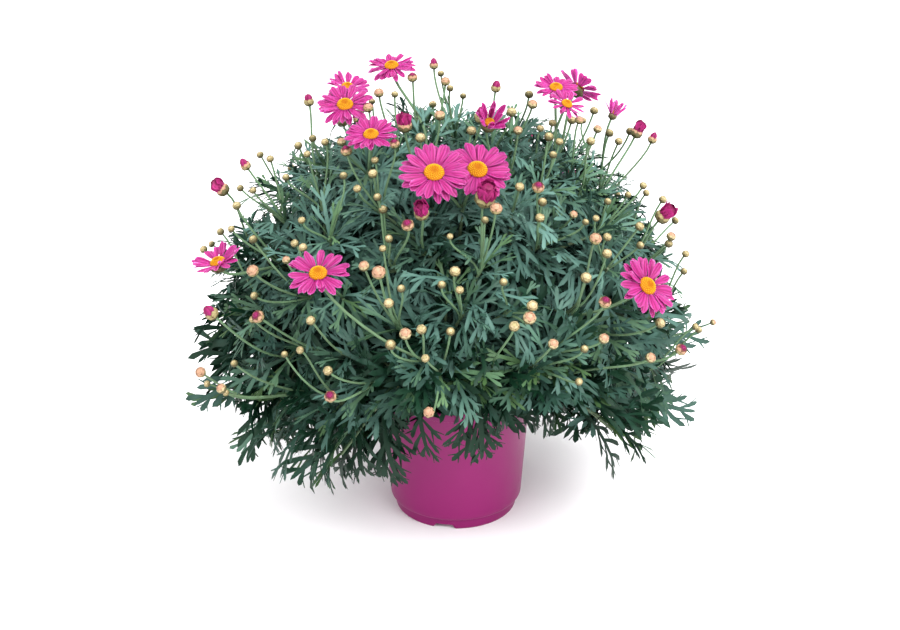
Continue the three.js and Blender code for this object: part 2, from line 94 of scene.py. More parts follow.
def new_mesh(name, points, faces, sharp=None):
    """A smooth mesh from points in millimetres. Edges bent more than the sharp angle stay crisp."""
    mesh = bpy.data.meshes.new(name)
    mesh.from_pydata((np.asarray(points, float) * MM).tolist(), [], faces)
    mesh.shade_smooth()
    if sharp:
        mesh.set_sharp_from_angle(angle=math.radians(sharp))
    return mesh


def in_scene(name, data):
    """A new object, linked to the scene."""
    thing = bpy.data.objects.new(name, data)
    bpy.context.scene.collection.objects.link(thing)
    return thing


def show(name, mesh, material, slot, *nodes):
    """Puts a finished mesh on the plant as a piece of its own, in place of the CAD nodes named."""
    piece = in_scene(name, mesh)
    if not mesh.materials:
        mesh.materials.append(material)
    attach(piece, "root")
    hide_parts(*nodes)
    return piece


def turned(outline, sides):
    """The points and faces of an outline of (radius, height) turned round the z axis."""
    angles = np.arange(sides) * 2 * math.pi / sides
    points, rings, faces = [], [], []
    for radius, height in outline:
        if radius == 0:
            rings.append([len(points)] * sides)
            points.append((0, 0, height))
        else:
            rings.append(range(len(points), len(points) + sides))
            points += [(radius * math.cos(a), radius * math.sin(a), height) for a in angles]
    for low, high in zip(rings, rings[1:]):
        for k in range(sides):
            n = (k + 1) % sides
            face = [low[k], low[n], high[n], high[k]]
            faces.append(list(dict.fromkeys(face)))
    return points, faces


def cut_away(mesh, points, faces):
    """The mesh with a cutter taken out of it."""
    body = in_scene("body", mesh)
    cutter = in_scene("cutter", new_mesh("cutter", points, faces))
    cut = body.modifiers.new("cut", "BOOLEAN")
    cut.operation = "DIFFERENCE"
    cut.solver = "EXACT"
    cut.object = cutter
    graph = bpy.context.evaluated_depsgraph_get()
    result = bpy.data.meshes.new_from_object(body.evaluated_get(graph))
    for thing in (body, cutter):
        bpy.data.objects.remove(thing)
    return result


def pot_cutter():
    """Wedges for the notches of the foot, and pins for the drain holes."""
    points, faces = [], []
    for azimuth in NOTCH_AZIMUTHS:
        turn = math.radians(azimuth)
        out = np.array([math.cos(turn), math.sin(turn), 0])
        side = np.array([-out[1], out[0], 0])
        start = len(points)
        for depth in NOTCH_DEPTHS:
            for half, height in ((-0.5, -1), (0.5, -1), (0.5, 1), (-0.5, 1)):
                wide = NOTCH_WIDTH[0 if height < 0 else 1]
                up = -1 if height < 0 else NOTCH_HEIGHT
                points.append(out * depth + side * half * wide + np.array([0, 0, up]))
        for face in ((3, 2, 1, 0), (4, 5, 6, 7), (0, 1, 5, 4), (1, 2, 6, 5), (2, 3, 7, 6), (3, 0, 4, 7)):
            faces.append([start + n for n in face])
    low, high = PIN_ENDS
    pin, pin_faces = turned([(0, low), (DRAIN_RADIUS, low), (DRAIN_RADIUS, high), (0, high)], PIN_SIDES)
    for n in range(DRAIN_HOLES):
        turn = 2 * math.pi * n / DRAIN_HOLES
        start = len(points)
        shift = np.array([math.cos(turn), math.sin(turn), 0]) * DRAIN_RING
        points += [np.array(p) + shift for p in pin]
        faces += [[start + k for k in face] for face in pin_faces]
    return points, faces


pot_plastic, tree, surface = new_material("pot_plastic", POT_ROUGHNESS, POT_SHINE)
place = join_in(tree, "ShaderNodeTexCoord")
cloud = join_in(tree, "ShaderNodeTexNoise", {"Vector": place.outputs["Object"], "Scale": 26.0})
ramp = join_in(tree, "ShaderNodeMapRange", {"Value": cloud.outputs["Fac"], "To Min": 0.93, "To Max": 1.07})
tint = join_in(tree, "ShaderNodeVectorMath", {0: POT_COLOUR[:3]}, operation="SCALE")
tree.links.new(ramp.outputs[0], tint.inputs["Scale"])
tree.links.new(tint.outputs[0], surface.inputs["Base Color"])
grain = join_in(tree, "ShaderNodeTexNoise", {"Vector": place.outputs["Object"], "Scale": POT_GRAIN})
bump = join_in(tree, "ShaderNodeBump", {
    "Height": grain.outputs["Fac"], "Strength": 0.12, "Distance": 0.0002,
})
tree.links.new(bump.outputs[0], surface.inputs["Normal"])

pot_mesh = cut_away(new_mesh("pot_wall", *turned(POT_OUTLINE, POT_SIDES)), *pot_cutter())
pot_mesh.set_sharp_from_angle(angle=math.radians(POT_CRISP_ANGLE))
show("plastic_pot", pot_mesh, pot_plastic, "pot", "pot")

# Compost: a firm, slightly crowned plug of dark peat that fills the pot to just below its rim.
# Crumbs and bits of bark lie loose on it.
COMPOST_TOP = 107
COMPOST_CROWN = 2.5
COMPOST_RADIUS = 62.1
COMPOST_OUTLINE = [
    (0, 6.3), (49, 6.3), (51.3, 8.2), (55.5, 11.8), (58, 46), (60.2, 78), (61.9, 103), (COMPOST_RADIUS, 106),
    (61, 107), (56, 107.4), (50, 107.8), (43, 108.3), (36, 108.7), (29, 109), (22, 109.2),
    (15, 109.4), (8, 109.5), (0, 109.5),
]
COMPOST_SIDES = 72
COMPOST_UNEVENNESS = 1.6
CRUMBS = 420
CRUMB_SIZE = 1.7
COMPOST_COLOURS = ((0.007, 0.005, 0.0035, 1), (0.034, 0.022, 0.015, 1))


def chance(i, j):
    """A fixed number from 0 to 1 for each pair of whole numbers."""
    wave = math.sin(i * 12.9898 + j * 78.233) * 43758.5453
    return wave - math.floor(wave)


def new_tree(name, inputs):
    """An empty tree of geometry nodes with named inputs, and the sockets of these inputs."""
    tree = bpy.data.node_groups.new(name, "GeometryNodeTree")
    tree.interface.new_socket("Geometry", in_out="INPUT", socket_type="NodeSocketGeometry")
    for label, kind, value in inputs:
        socket = tree.interface.new_socket(label, in_out="INPUT", socket_type="NodeSocket" + kind)
        if value is not None:
            socket.default_value = value
    tree.interface.new_socket("Geometry", in_out="OUTPUT", socket_type="NodeSocketGeometry")
    return tree, tree.nodes.new("NodeGroupInput").outputs


def end_tree(tree, geometry, material):
    """Closes a tree: the copies are made real and take their material."""
    real = join_in(tree, "GeometryNodeRealizeInstances", {"Geometry": geometry})
    finish = join_in(tree, "GeometryNodeSetMaterial", {"Geometry": real.outputs[0], "Material": material})
    join_in(tree, "NodeGroupOutput", {"Geometry": finish.outputs[0]})


def grown(tree, base, inputs):
    """The plain mesh that a tree makes from a base mesh."""
    holder = in_scene("holder", base)
    modifier = holder.modifiers.new("grow", "NODES")
    modifier.node_group = tree
    for item in tree.interface.items_tree:
        if item.in_out == "INPUT" and item.name in inputs:
            modifier[item.identifier] = inputs[item.name]
    graph = bpy.context.evaluated_depsgraph_get()
    mesh = bpy.data.meshes.new_from_object(
        holder.evaluated_get(graph), preserve_all_data_layers=True, depsgraph=graph
    )
    bpy.data.objects.remove(holder)
    return mesh


def kept_apart(name, meshes):
    """A collection outside the scene that holds the patterns that a tree copies, in order."""
    group = bpy.data.collections.new(name)
    for n, mesh in enumerate(meshes):
        group.objects.link(bpy.data.objects.new(f"{name}_{n:02d}", mesh))
    return group


def set_values(mesh, name, kind, values):
    """Stores one value for each point of a mesh."""
    field = "color" if kind == "FLOAT_COLOR" else "value"
    field = "vector" if kind == "FLOAT_VECTOR" else field
    attribute = mesh.attributes.new(name, kind, "POINT")
    attribute.data.foreach_set(field, np.asarray(values, np.float32 if kind != "INT" else np.int32).ravel())


def stored(tree, name, kind):
    """The socket of a value stored on the points."""
    node = join_in(tree, "GeometryNodeInputNamedAttribute", {"Name": name}, data_type=kind)
    return next(s for s in node.outputs if s.enabled and s.name == "Attribute")


def copied_onto(tree, given, points, kind, turn, size):
    """Copies of a tree's patterns on points, each of its own kind, turn and size."""
    patterns = join_in(tree, "GeometryNodeCollectionInfo", {
        "Collection": given["Patterns"], "Separate Children": True, "Reset Children": True,
    })
    return join_in(tree, "GeometryNodeInstanceOnPoints", {
        "Points": points, "Instance": patterns.outputs[0], "Pick Instance": True,
        "Instance Index": kind, "Rotation": turn, "Scale": size,
    }).outputs[0]


def copies_tree(name):
    """Copies of patterns on points, which store each copy's kind, turn and size."""
    tree, given = new_tree(name, [("Patterns", "Collection", None), ("Material", "Material", None)])
    kind = stored(tree, "kind", "INT")
    turn = stored(tree, "turn", "QUATERNION")
    size = stored(tree, "size", "FLOAT_VECTOR")
    end_tree(tree, copied_onto(tree, given, given["Geometry"], kind, turn, size), given["Material"])
    return tree


copy_patterns = copies_tree("copy_patterns")


def points_for(copies, extra=()):
    """A mesh of points from copies of (place, turn, size, kind, values of the extra names)."""
    base = bpy.data.meshes.new("points")
    base.from_pydata([tuple(c[0] * MM) for c in copies], [], [])
    set_values(base, "turn", "QUATERNION", [tuple(c[1]) for c in copies])
    set_values(base, "size", "FLOAT_VECTOR", [tuple(np.broadcast_to(c[2], 3) * 1.0) for c in copies])
    set_values(base, "kind", "INT", [c[3] for c in copies])
    for n, name in enumerate(extra):
        set_values(base, name, "FLOAT", [c[4 + n] for c in copies])
    return base


def crumb(i):
    """One lumpy crumb, about 1 across."""
    points, faces = turned([(0, -0.5), (0.42, -0.25), (0.5, 0.12), (0.3, 0.42), (0, 0.5)], 5)
    lumps = [0.75 + 0.5 * chance(300 + i, n) for n in range(len(points))]
    return new_mesh("crumb", [np.array(p) * lump for p, lump in zip(points, lumps)], faces)


compost_peat, tree, surface = new_material("compost_peat", 0.95)
place = join_in(tree, "ShaderNodeTexCoord")
specks = join_in(tree, "ShaderNodeTexNoise", {
    "Vector": place.outputs["Object"], "Scale": 420.0, "Detail": 6.0, "Roughness": 0.7,
})
ramp = join_in(tree, "ShaderNodeValToRGB", {"Fac": specks.outputs["Fac"]})
for stop, at, colour in zip(ramp.color_ramp.elements, (0.35, 0.7), COMPOST_COLOURS):
    stop.position = at
    stop.color = colour
tree.links.new(ramp.outputs[0], surface.inputs["Base Color"])
bump = join_in(tree, "ShaderNodeBump", {"Height": specks.outputs["Fac"], "Strength": 0.8, "Distance": 0.001})
tree.links.new(bump.outputs[0], surface.inputs["Normal"])

plug_points, plug_faces = turned(COMPOST_OUTLINE, COMPOST_SIDES)
plug_points = np.array(plug_points, float)
on_top = plug_points[:, 2] > COMPOST_TOP - 0.5
plug_points[on_top, 2] += [COMPOST_UNEVENNESS * (chance(410, n) - 0.5) for n in range(on_top.sum())]
show("compost_plug", new_mesh("compost_plug", plug_points, plug_faces), compost_peat, "compost", "compost")

crumbs = []
for n in range(CRUMBS):
    reach = (COMPOST_RADIUS - 2) * math.sqrt(chance(420, n))
    azimuth = 2 * math.pi * chance(421, n)
    height = COMPOST_TOP + COMPOST_CROWN * (1 - (reach / COMPOST_RADIUS) ** 2) + 0.4
    turn = Quaternion((chance(422, n) - 0.5, chance(423, n) - 0.5, chance(424, n) - 0.5, 0.4)).normalized()
    size = CRUMB_SIZE * (0.6 + 1.5 * chance(425, n) ** 2)
    centre = np.array([reach * math.cos(azimuth), reach * math.sin(azimuth), height])
    crumbs.append((centre, turn, (size * (1 + chance(426, n)), size, 0.8 * size), n))
crumb_patterns = kept_apart("crumb_patterns", [crumb(i) for i in range(4)])
crumb_mesh = grown(copy_patterns, points_for(crumbs), {"Patterns": crumb_patterns, "Material": compost_peat})
show("compost_crumbs", crumb_mesh, compost_peat, "compost")

# Stems and shoots: twelve woody stems come up out of the compost and lean out to their own part
# of the bush. Each forks into green shoots, and these fork again. Every shoot ends in a tuft.
BUSH_CENTRE = np.array([-8.0, 0.0, 140.0])
BUSH_REACH = np.array([215.0, 210.0, 218.0])
UP = np.array([0.0, 0.0, 1.0])
GOLDEN_ANGLE = 137.508
STEMS = 12
STEM_TURN = 20
STEM_LOWEST = -0.08
STEM_RADII = (3.1, 2.0)
STEM_RING = (7, 24)  # how far from the middle the steepest and the flattest stem come up
STEM_SINK = 24
STEM_NECK = 6
STEM_END = 0.57
ELBOW_OUT = (6, 22)
ELBOW_HEIGHTS = (175, 150)
MAIN_SHOOTS = 32
MAIN_LOWEST = -0.12
MAIN_TURN = 64
SIDE_SHOOTS = 170
SIDE_LOWEST = -0.2
SIDE_TURN = 11
SIDE_CLEAR = 0.995  # a side shoot whose direction lies nearer to a main one's is left out
MAIN_RUN = 38  # how far a shoot runs on along its parent before it bends away
SIDE_RUN = 26
SKIRT_SHOOTS = 18
SKIRT_RING = (78, 122)
SKIRT_HEIGHTS = (128, 150)
EXTRA_SHOOTS = [  # azimuth and rise, where the bush is thickest
    (-24, 46), (-6, 52), (10, 44), (2, 36), (24, 52), (-14, 60), (16, 34), (172, 46), (-170, 56),
    (-172, 33), (-158, 26), (-100, 84), (-30, 79), (60, 84), (-150, 78),
]
LOW_TUFT_SHARE = (0.66, 0.80)
TOP_TUFT_SHARE = (0.84, 0.95)
TUFT_HEADROOM = 30
TUFT_STRAY = 7
UNDERSIDE_RADIUS = 90
UNDERSIDE_HEIGHT = 76
UNDERSIDE_SLOPE = 0.18
UNDERSIDE_FRONT = 62
UNDERSIDE_FRONT_SLOPE = 0.35
UNDERSIDE_FRONT_AZIMUTH = -82
POT_CLEAR_RADIUS = 72
POT_CLEAR_HEIGHT = 124
SHOOT_RADII = (1.7, 1.15)


def direction(azimuth, rise):
    """The direction at an azimuth from +X and a rise above the horizontal, 1 long."""
    a = math.radians(azimuth)
    r = math.radians(rise)
    return np.array([math.cos(r) * math.cos(a), math.cos(r) * math.sin(a), math.sin(r)])


def spread(i, count, lowest, turn):
    """Direction number i of an even spread over a cap round straight up."""
    height = 1 - (i + 0.5) * (1 - lowest) / count
    return direction(turn + i * GOLDEN_ANGLE, math.degrees(math.asin(height)))


def in_bush(toward, share):
    """The point in a direction, at a share of the distance to the leaf tips."""
    return BUSH_CENTRE + toward * share / np.linalg.norm(toward / BUSH_REACH)


def unit(vector):
    """The same direction, 1 long."""
    return vector / np.linalg.norm(vector)


def mix(a, b, share):
    """The value a share of the way from a to b."""
    return a + (b - a) * share


def ease(value, low, high):
    """A share that goes smoothly from 0 to 1 as a value goes from low to high."""
    share = min(1.0, max(0.0, (value - low) / (high - low)))
    return share * share * (3 - 2 * share)


def curve_through(controls, steps):
    """Points along the smooth curve that a list of control points gives."""
    shares = np.linspace(0, 1, steps)[:, None]
    row = [np.repeat(np.asarray(c, float)[None], steps, 0) for c in controls]
    while len(row) > 1:
        row = [a + (b - a) * shares for a, b in zip(row, row[1:])]
    return row[0]


stem_directions = [spread(i, STEMS, STEM_LOWEST, STEM_TURN) for i in range(STEMS)]


def stem_at(toward):
    """The number of the stem that a direction belongs to."""
    return int(np.argmax([d @ toward for d in stem_directions]))


def stem_path(toward):
    """A stem goes straight up out of the compost and bends out to its part of the bush."""
    level = math.hypot(toward[0], toward[1])
    out = unit(np.array([toward[0], toward[1], 0]))
    hole = out * mix(*STEM_RING, level)
    foot = hole + UP * (COMPOST_TOP - STEM_SINK)
    neck = hole + UP * (COMPOST_TOP + STEM_NECK)
    elbow = hole + out * (ELBOW_OUT[0] + ELBOW_OUT[1] * level) + UP * mix(*ELBOW_HEIGHTS, level)
    return np.vstack([
        curve_through([foot, neck], 4)[:-1],
        curve_through([neck, elbow, in_bush(toward, STEM_END)], 12),
    ])


paths = []  # each stalk as (points, first radius, last radius, tone, stem)
stem_paths = [stem_path(d) for d in stem_directions]
for i, line in enumerate(stem_paths):
    paths.append((line, *STEM_RADII, 0.0, i))

tufts = []  # each leafy shoot: its direction, its line, the stem that it belongs to, and how low it is


def add_tuft(toward, line, stem):
    """Adds a leafy shoot and draws its line."""
    low = 1 - ease(toward[2], -0.1, 0.7)
    tufts.append({"toward": toward, "line": line, "stem": stem, "low": low})
    paths.append((line, *SHOOT_RADII, 0.45 + 0.3 * chance(31, len(tufts)), stem))


def lowest_at(point):
    """The lowest height that a leaf may hang to at a place. It is higher in front of the pot."""
    out = math.hypot(point[0], point[1])
    if out < POT_CLEAR_RADIUS:
        return POT_CLEAR_HEIGHT
    beyond = max(0.0, out - UNDERSIDE_RADIUS)
    middle = direction(UNDERSIDE_FRONT_AZIMUTH, 0)
    front = ease((point[0] * middle[0] + point[1] * middle[1]) / out, 0.74, 0.95)
    raised = UNDERSIDE_FRONT + UNDERSIDE_FRONT_SLOPE * beyond
    return UNDERSIDE_HEIGHT + UNDERSIDE_SLOPE * beyond + front * raised


def tuft_top(toward, i):
    """Where a shoot ends: further in at the side of the bush, where the leaves are longest."""
    low, high = mix(*LOW_TUFT_SHARE, chance(i, 1)), mix(*TOP_TUFT_SHARE, chance(i, 1))
    top = in_bush(toward, mix(low, high, ease(toward[2], -0.1, 0.8))) + lean(i, TUFT_STRAY)
    top[2] = max(top[2], lowest_at(top) + TUFT_HEADROOM)
    return top


def lean(i, amount):
    """A seeded sideways push."""
    return np.array([chance(i, 3) - 0.5, chance(i, 4) - 0.5, chance(i, 5) - 0.5]) * 2 * amount


for i in range(MAIN_SHOOTS):
    toward = spread(i, MAIN_SHOOTS, MAIN_LOWEST, MAIN_TURN)
    stem = stem_at(toward)
    start = stem_paths[stem][-3]
    along = unit(stem_paths[stem][-1] - start)
    top = tuft_top(toward, i)
    line = curve_through([start, start + along * MAIN_RUN, mix(start, top, 0.6) + UP * 6, top], 13)
    add_tuft(toward, line, stem)

main_tufts = list(tufts)


def side_shoot(i, toward, nearest):
    """A shoot that forks off the nearest main one, unless that one is nearer than a limit."""
    nearness = [toward @ t["toward"] for t in main_tufts]
    parent = main_tufts[int(np.argmax(nearness))]
    if max(nearness) > nearest:
        return
    start = parent["line"][5]
    along = unit(parent["line"][6] - start)
    top = tuft_top(toward, 80 + i)
    line = curve_through([start, start + along * SIDE_RUN, mix(start, top, 0.6) + UP * 4, top], 10)
    add_tuft(toward, line, parent["stem"])


for i in range(SIDE_SHOOTS):
    side_shoot(i, spread(i, SIDE_SHOOTS, SIDE_LOWEST, SIDE_TURN), SIDE_CLEAR)

for i in range(SKIRT_SHOOTS):
    out = direction(i * 360 / SKIRT_SHOOTS + 9 * chance(i, 41), 0)
    stem = stem_at(unit(out + 0.1 * UP))
    line = stem_paths[stem]
    start = line[int(np.argmin(np.linalg.norm(line - np.array([0, 0, 128]), axis=1)))]
    ring = mix(*SKIRT_RING, chance(i, 42))
    top = out * ring + UP * mix(*SKIRT_HEIGHTS, chance(i, 43)) + BUSH_CENTRE * (1, 1, 0)
    line = curve_through([start, mix(start, top, 0.45) + UP * 10, top - out * 20 + UP * 5, top], 10)
    add_tuft(unit(out - 0.15 * UP), line, stem)

for i, (azimuth, rise) in enumerate(EXTRA_SHOOTS):
    side_shoot(SIDE_SHOOTS + i, direction(azimuth, rise), 1)

# Leaves: thin, stiff and blue-green with a pale, waxy coat. Each is cut into pairs of narrow lobes
# with a tooth or two, is channelled along the ribs, and arches over. The low ones are the
# longest and the most deeply toothed, and they hang over the pot.
LEAF_THICKNESS = 0.009
UPPER_LENGTH = (44, 64)
LOWER_LENGTH = (62, 96)
LEAVES_PER_TUFT = (19, 8.6)  # at the top and at the side of the bush
INNER_LEAVES = (6, 3)
LIFTS = 5  # how often a leaf is lifted and shortened to find room
TUFT_DEPTH = 46  # how far down its shoot a tuft reaches
INNER_STEP = 11
LEAF_TILTS = (80, 22)  # the turn away from the shoot, at the foot and at the top of a tuft
LEAF_LIMITS = (0.96, 1.07)  # how far out the leaves of a tuft may reach, as a share of the bush
HANG_OF_TUFT = 36
HANG_OF_LEAF = 24
LOW_SLACK = 6
FAR_SLACK = 0.04
# Leaf tone: low leaves and those deep inside the bush are darker, high and outside ones paler. This is
# partly painted shade and light, partly the darker green of older leaves.
LEAF_TONE = -0.32  # the tone of a leaf low inside the bush, and what is added to it
SHADE_AND_AGE_BY_HEIGHT = 0.58
SHADE_AND_AGE_BY_OUTSIDE = 0.33
TONE_OF_TOP = 0.25
TONE_SPREAD = 0.8
HANGING_LEAVES = [  # x, y and z of the tip, length, and how far it leans to a side
    (-21, -126, 112, 60, 0.1), (-4, -124, 121, 50, -0.3), (7, -128, 111, 62, -0.2),
    (20, -128, 111, 64, 0.15), (29, -124, 121, 52, 0.3), (37, -120, 133, 48, 0.35),
    (-41, -122, 112, 62, 0.35), (-45, -118, 84, 70, 0.2), (-56, -112, 84, 74, 0.05),
    (-74, -112, 86, 72, -0.05), (-86, -104, 82, 70, -0.2),
]


def closed(points, faces, thickness):
    """A closed shell round an open sheet, which thins out to nothing at its edge.

    It also gives the number of the sheet's point that each of its points came from."""
    points = np.asarray(points, float)
    outward = np.zeros_like(points)
    for face in faces:
        a, b, c = points[face[0]], points[face[1]], points[face[2]]
        d = points[face[-1]]
        outward[list(face)] += np.cross(b - a, c - a) + np.cross(c - a, d - a)
    outward /= np.maximum(np.linalg.norm(outward, axis=1), 1e-12)[:, None]
    edges = {(f[k], f[(k + 1) % len(f)]) for f in faces for k in range(len(f))}
    rim = {n for a, b in edges if (b, a) not in edges for n in (a, b)}
    inside = [n for n in range(len(points)) if n not in rim]
    below = {n: len(points) + k for k, n in enumerate(inside)}
    half = np.array([0 if n in rim else thickness / 2 for n in range(len(points))])[:, None]
    upper = points + outward * half
    lower = (points - outward * half)[inside]
    under = [[below.get(n, n) for n in reversed(face)] for face in faces]
    origin = np.array(list(range(len(points))) + inside)
    return np.vstack([upper, lower]), [list(f) for f in faces] + under, origin


END = 0.3  # how near to a rib the ends of a leaf and of its lobes count as
PAIRS_FROM_TO = (0.40, 0.82)  # where along a leaf its first and its last pair of lobes grow
ROOT_STEP = 0.027  # a lobe grows from two steps of its leaf's rib
TOOTH_TURN = 36
TOOTH_SHARE = (0.30, 0.46)
LOBE_ROWS = {1: (0.76, 1), 2: (0.38, 0.82, 1)}  # how far along a lobe its rows of points lie
LOBE_BEND = 17
leaf_ends = []  # the ends of each pattern


def leaf_sheet(seed, reaches, broad, angle, rows, teeth):
    """A flat leaf along x, 1 long, as points, faces and each point's nearness to a rib."""
    points, faces, ribs = [], [], []

    def put(x, y, z, rib):
        """Adds a point and gives its number."""
        points.append((x, y, z))
        ribs.append(rib)
        return len(points) - 1

    def half_band(before, after, flank, heading=0, length=0, number=0):
        """One side of a stretch of leaf. Where a length of its lobe is given, a tooth stands out of it."""
        ring = [before[1], after[1], after[flank], before[flank]]
        if length:
            outer = 1 - flank
            turn = heading + outer * math.radians(TOOTH_TURN)
            toward = np.array([math.cos(turn), math.sin(turn), 0.1])
            a, b = np.array(points[before[flank]]), np.array(points[after[flank]])
            foot = mix(a, b, mix(0.35, 0.5, chance(number, 1)))
            tip = foot + toward * length * mix(*TOOTH_SHARE, chance(number, 2))
            width = np.linalg.norm(b - a) * 0.17
            along = (b - a) / np.linalg.norm(b - a)
            inside = foot - toward * 0.85 * broad - 0.17 * broad * UP
            blunt = 0.16 * broad * np.array([-math.sin(turn), math.cos(turn), 0]) * outer
            ring[3:3] = [put(*(foot + along * width), 0), put(*(tip - blunt), END)]
            ring[5:5] = [put(*(tip + blunt), END), put(*(foot - along * width), 0)]
            middle = put(*inside, 0.5)
        ring = ring if flank == 0 else ring[::-1]
        faces.extend([[ring[n - 1], ring[n], middle] for n in range(8)] if length else [ring])

    def band(before, after):
        """Both sides of a stretch of leaf without a lobe."""
        half_band(before, after, 0)
        half_band(before, after, 2)

    pairs = len(reaches)
    stations = [0, 0.18]
    for pair in range(pairs):
        share = (pair + 0.5 * (pairs == 1)) / max(1, pairs - 1)
        at = mix(*PAIRS_FROM_TO, share) + 0.03 * (chance(seed, 60 + pair) - 0.5)
        stations += [at + ROOT_STEP * k for k in (-1.5, -0.5, 0.5, 1.5)]
    spine = []
    for s in stations + [0.94]:
        half = broad * (0.62 + 0.38 * ease(s, 0.1, 0.35)) * (1 - 0.3 * ease(s, 0.6, 1))
        spine.append((put(s, half, 0, 0), put(s, 0, -0.35 * half, 1), put(s, -half, 0, 0)))
    for before, after in zip(spine, spine[1:]):
        band(before, after)
    tip = put(1, 0, 0, END)
    faces.append([spine[-1][1], tip, spine[-1][0]])
    faces.append([spine[-1][2], tip, spine[-1][1]])

    for number in range(2 * pairs):
        pair, side = divmod(number, 2)
        side = 1 if side == 0 else -1
        k = 2 + 4 * pair + (side < 0)
        edge = 0 if side > 0 else 2
        roots = [spine[k][edge], spine[k + 1][edge], spine[k + 2][edge]]
        row = roots if side > 0 else roots[::-1]
        length = reaches[pair] * mix(0.82, 1.15, chance(seed, number))
        heading = side * math.radians(angle * mix(0.86, 1.14, chance(seed + 1, number)))
        heading *= mix(1, 0.8, pair / pairs)
        rise = mix(0.02, 0.42, chance(seed + 2, number))
        x, y, _ = points[roots[1]]
        slim = 0.88 * broad
        gone = 0
        for j, share in enumerate(LOBE_ROWS[rows]):
            part = length * (share - gone)
            gone = share
            heading -= side * math.radians(LOBE_BEND) / (rows + 1)
            x += math.cos(heading) * part
            y += math.sin(heading) * part
            away = length * share
            z = rise * away - 0.7 * away * away
            if share > 0.999:
                end = put(x, y, z, END)
                faces.append([row[1], end, row[0]])
                faces.append([row[2], end, row[1]])
                break
            half = slim * (1 + 0.06 * j)
            px, py = -math.sin(heading) * half, math.cos(heading) * half
            after = (put(x + px, y + py, z, 0), put(x, y, z - 0.35 * half, 1), put(x - px, y - py, z, 0))
            for flank in (0, 2):
                has_tooth = j == 1 and chance(seed + 3, 10 * number + flank) < teeth
                half_band(row, after, flank, heading, length * has_tooth, seed + 10 * number + flank)
            row = after
    return np.array(points), faces, np.array(ribs, float)


def arched(points, curl, sway, twist):
    """Bends a flat leaf down along an arc, sways it sideways and twists it."""
    bent = points.copy()
    steps = np.linspace(0, 1.2, 61)
    tilt = -curl * np.maximum(steps - 0.05, 0) ** 1.25
    run = np.concatenate([[0], np.cumsum(np.cos(tilt[:-1]) * 0.02)])
    fall = np.concatenate([[0], np.cumsum(np.sin(tilt[:-1]) * 0.02)])
    x = np.clip(points[:, 0], 0, 1.2)
    spin = math.radians(twist) * x
    y = points[:, 1] * np.cos(spin) - points[:, 2] * np.sin(spin)
    z = points[:, 1] * np.sin(spin) + points[:, 2] * np.cos(spin)
    a = np.interp(x, steps, tilt)
    bent[:, 0] = np.interp(x, steps, run) - z * np.sin(a)
    bent[:, 1] = y + sway * x * x
    bent[:, 2] = np.interp(x, steps, fall) + z * np.cos(a)
    return bent


def leaf_pattern(seed, reaches, broad, angle, rows, teeth, curl, sway, twist):
    """A leaf, 1 m long, that stores how near to a rib each of its points is, and which face it lies on."""
    points, faces, ribs = leaf_sheet(seed, reaches, broad, angle, rows, teeth)
    bent = arched(points, curl, sway, twist)
    leaf_ends.append(bent[ribs == END])
    both, shell, origin = closed(bent, faces, LEAF_THICKNESS)
    mesh = new_mesh("leaf", both / MM, shell, sharp=60)
    face_up = np.arange(len(both)) < len(points)
    set_values(mesh, "rib", "FLOAT", ribs[origin] * np.where(face_up, 1, 0.4))
    set_values(mesh, "face_up", "FLOAT", face_up)
    return mesh


UPPER_KINDS = range(0, 6)
LOWER_KINDS = range(6, 10)
YOUNG_KINDS = range(10, 12)
INNER_KINDS = range(12, 14)
leaf_patterns = kept_apart("leaf_patterns", [
    leaf_pattern(501, (0.42, 0.31), 0.035, 38, 2, 0.5, 1.0, 0.05, 20),
    leaf_pattern(511, (0.46, 0.28), 0.032, 35, 2, 0.4, 1.35, -0.06, -25),
    leaf_pattern(521, (0.36, 0.34), 0.036, 40, 2, 0.6, 0.75, 0.08, 10),
    leaf_pattern(531, (0.48, 0.25), 0.032, 33, 2, 0.4, 1.6, -0.04, 30),
    leaf_pattern(541, (0.40,), 0.036, 37, 2, 0.6, 1.2, 0.06, -12),
    leaf_pattern(545, (0.32, 0.27), 0.034, 36, 1, 0, 0.5, -0.05, 14),
    leaf_pattern(551, (0.32, 0.36, 0.22), 0.032, 44, 2, 0.6, 0.7, 0.05, 12),
    leaf_pattern(561, (0.36, 0.34, 0.20), 0.034, 41, 2, 0.6, 1.0, -0.07, -15),
    leaf_pattern(571, (0.28, 0.36, 0.24), 0.033, 46, 2, 0.65, 0.45, 0.03, 8),
    leaf_pattern(581, (0.38, 0.30, 0.22), 0.035, 40, 2, 0.55, 0.85, -0.02, -6),
    leaf_pattern(591, (0.32,), 0.043, 27, 1, 0, 0.5, 0.03, 10),
    leaf_pattern(601, (0.30, 0.22), 0.040, 29, 1, 0, 0.8, -0.04, -14),
    leaf_pattern(611, (0.42, 0.30), 0.040, 42, 1, 0, 0.8, 0.04, 15),
    leaf_pattern(621, (0.36, 0.36), 0.040, 39, 1, 0, 1.1, -0.05, -15),
])

# Colour of a leaf: deep green inside and below, partly the green of older leaves and partly
# painted shade; blue-green and paler outside and on top, partly painted light; with lighter ribs
# and a duller underside.
LEAF_INNER_OLD_AND_SHADED = (0.0030, 0.021, 0.0095, 1)
LEAF_OUTER = (0.062, 0.135, 0.116, 1)
LEAF_RIB = (0.110, 0.205, 0.160, 1)
LEAF_UNDER = (0.052, 0.112, 0.070, 1)
LEAF_YOUNG = (0.065, 0.125, 0.038, 1)


def shade_stored(tree, name):
    """The socket of a value stored on the points, for a shader."""
    return join_in(tree, "ShaderNodeAttribute", attribute_name=name).outputs["Fac"]


def blend(tree, share, first, second):
    """A mix of two colours by a share, which may be a socket."""
    node = join_in(tree, "ShaderNodeMix", data_type="RGBA")
    for key, value in ((0, share), (6, first), (7, second)):
        if isinstance(value, bpy.types.NodeSocket):
            tree.links.new(value, node.inputs[key])
        else:
            node.inputs[key].default_value = value
    return node.outputs[2]


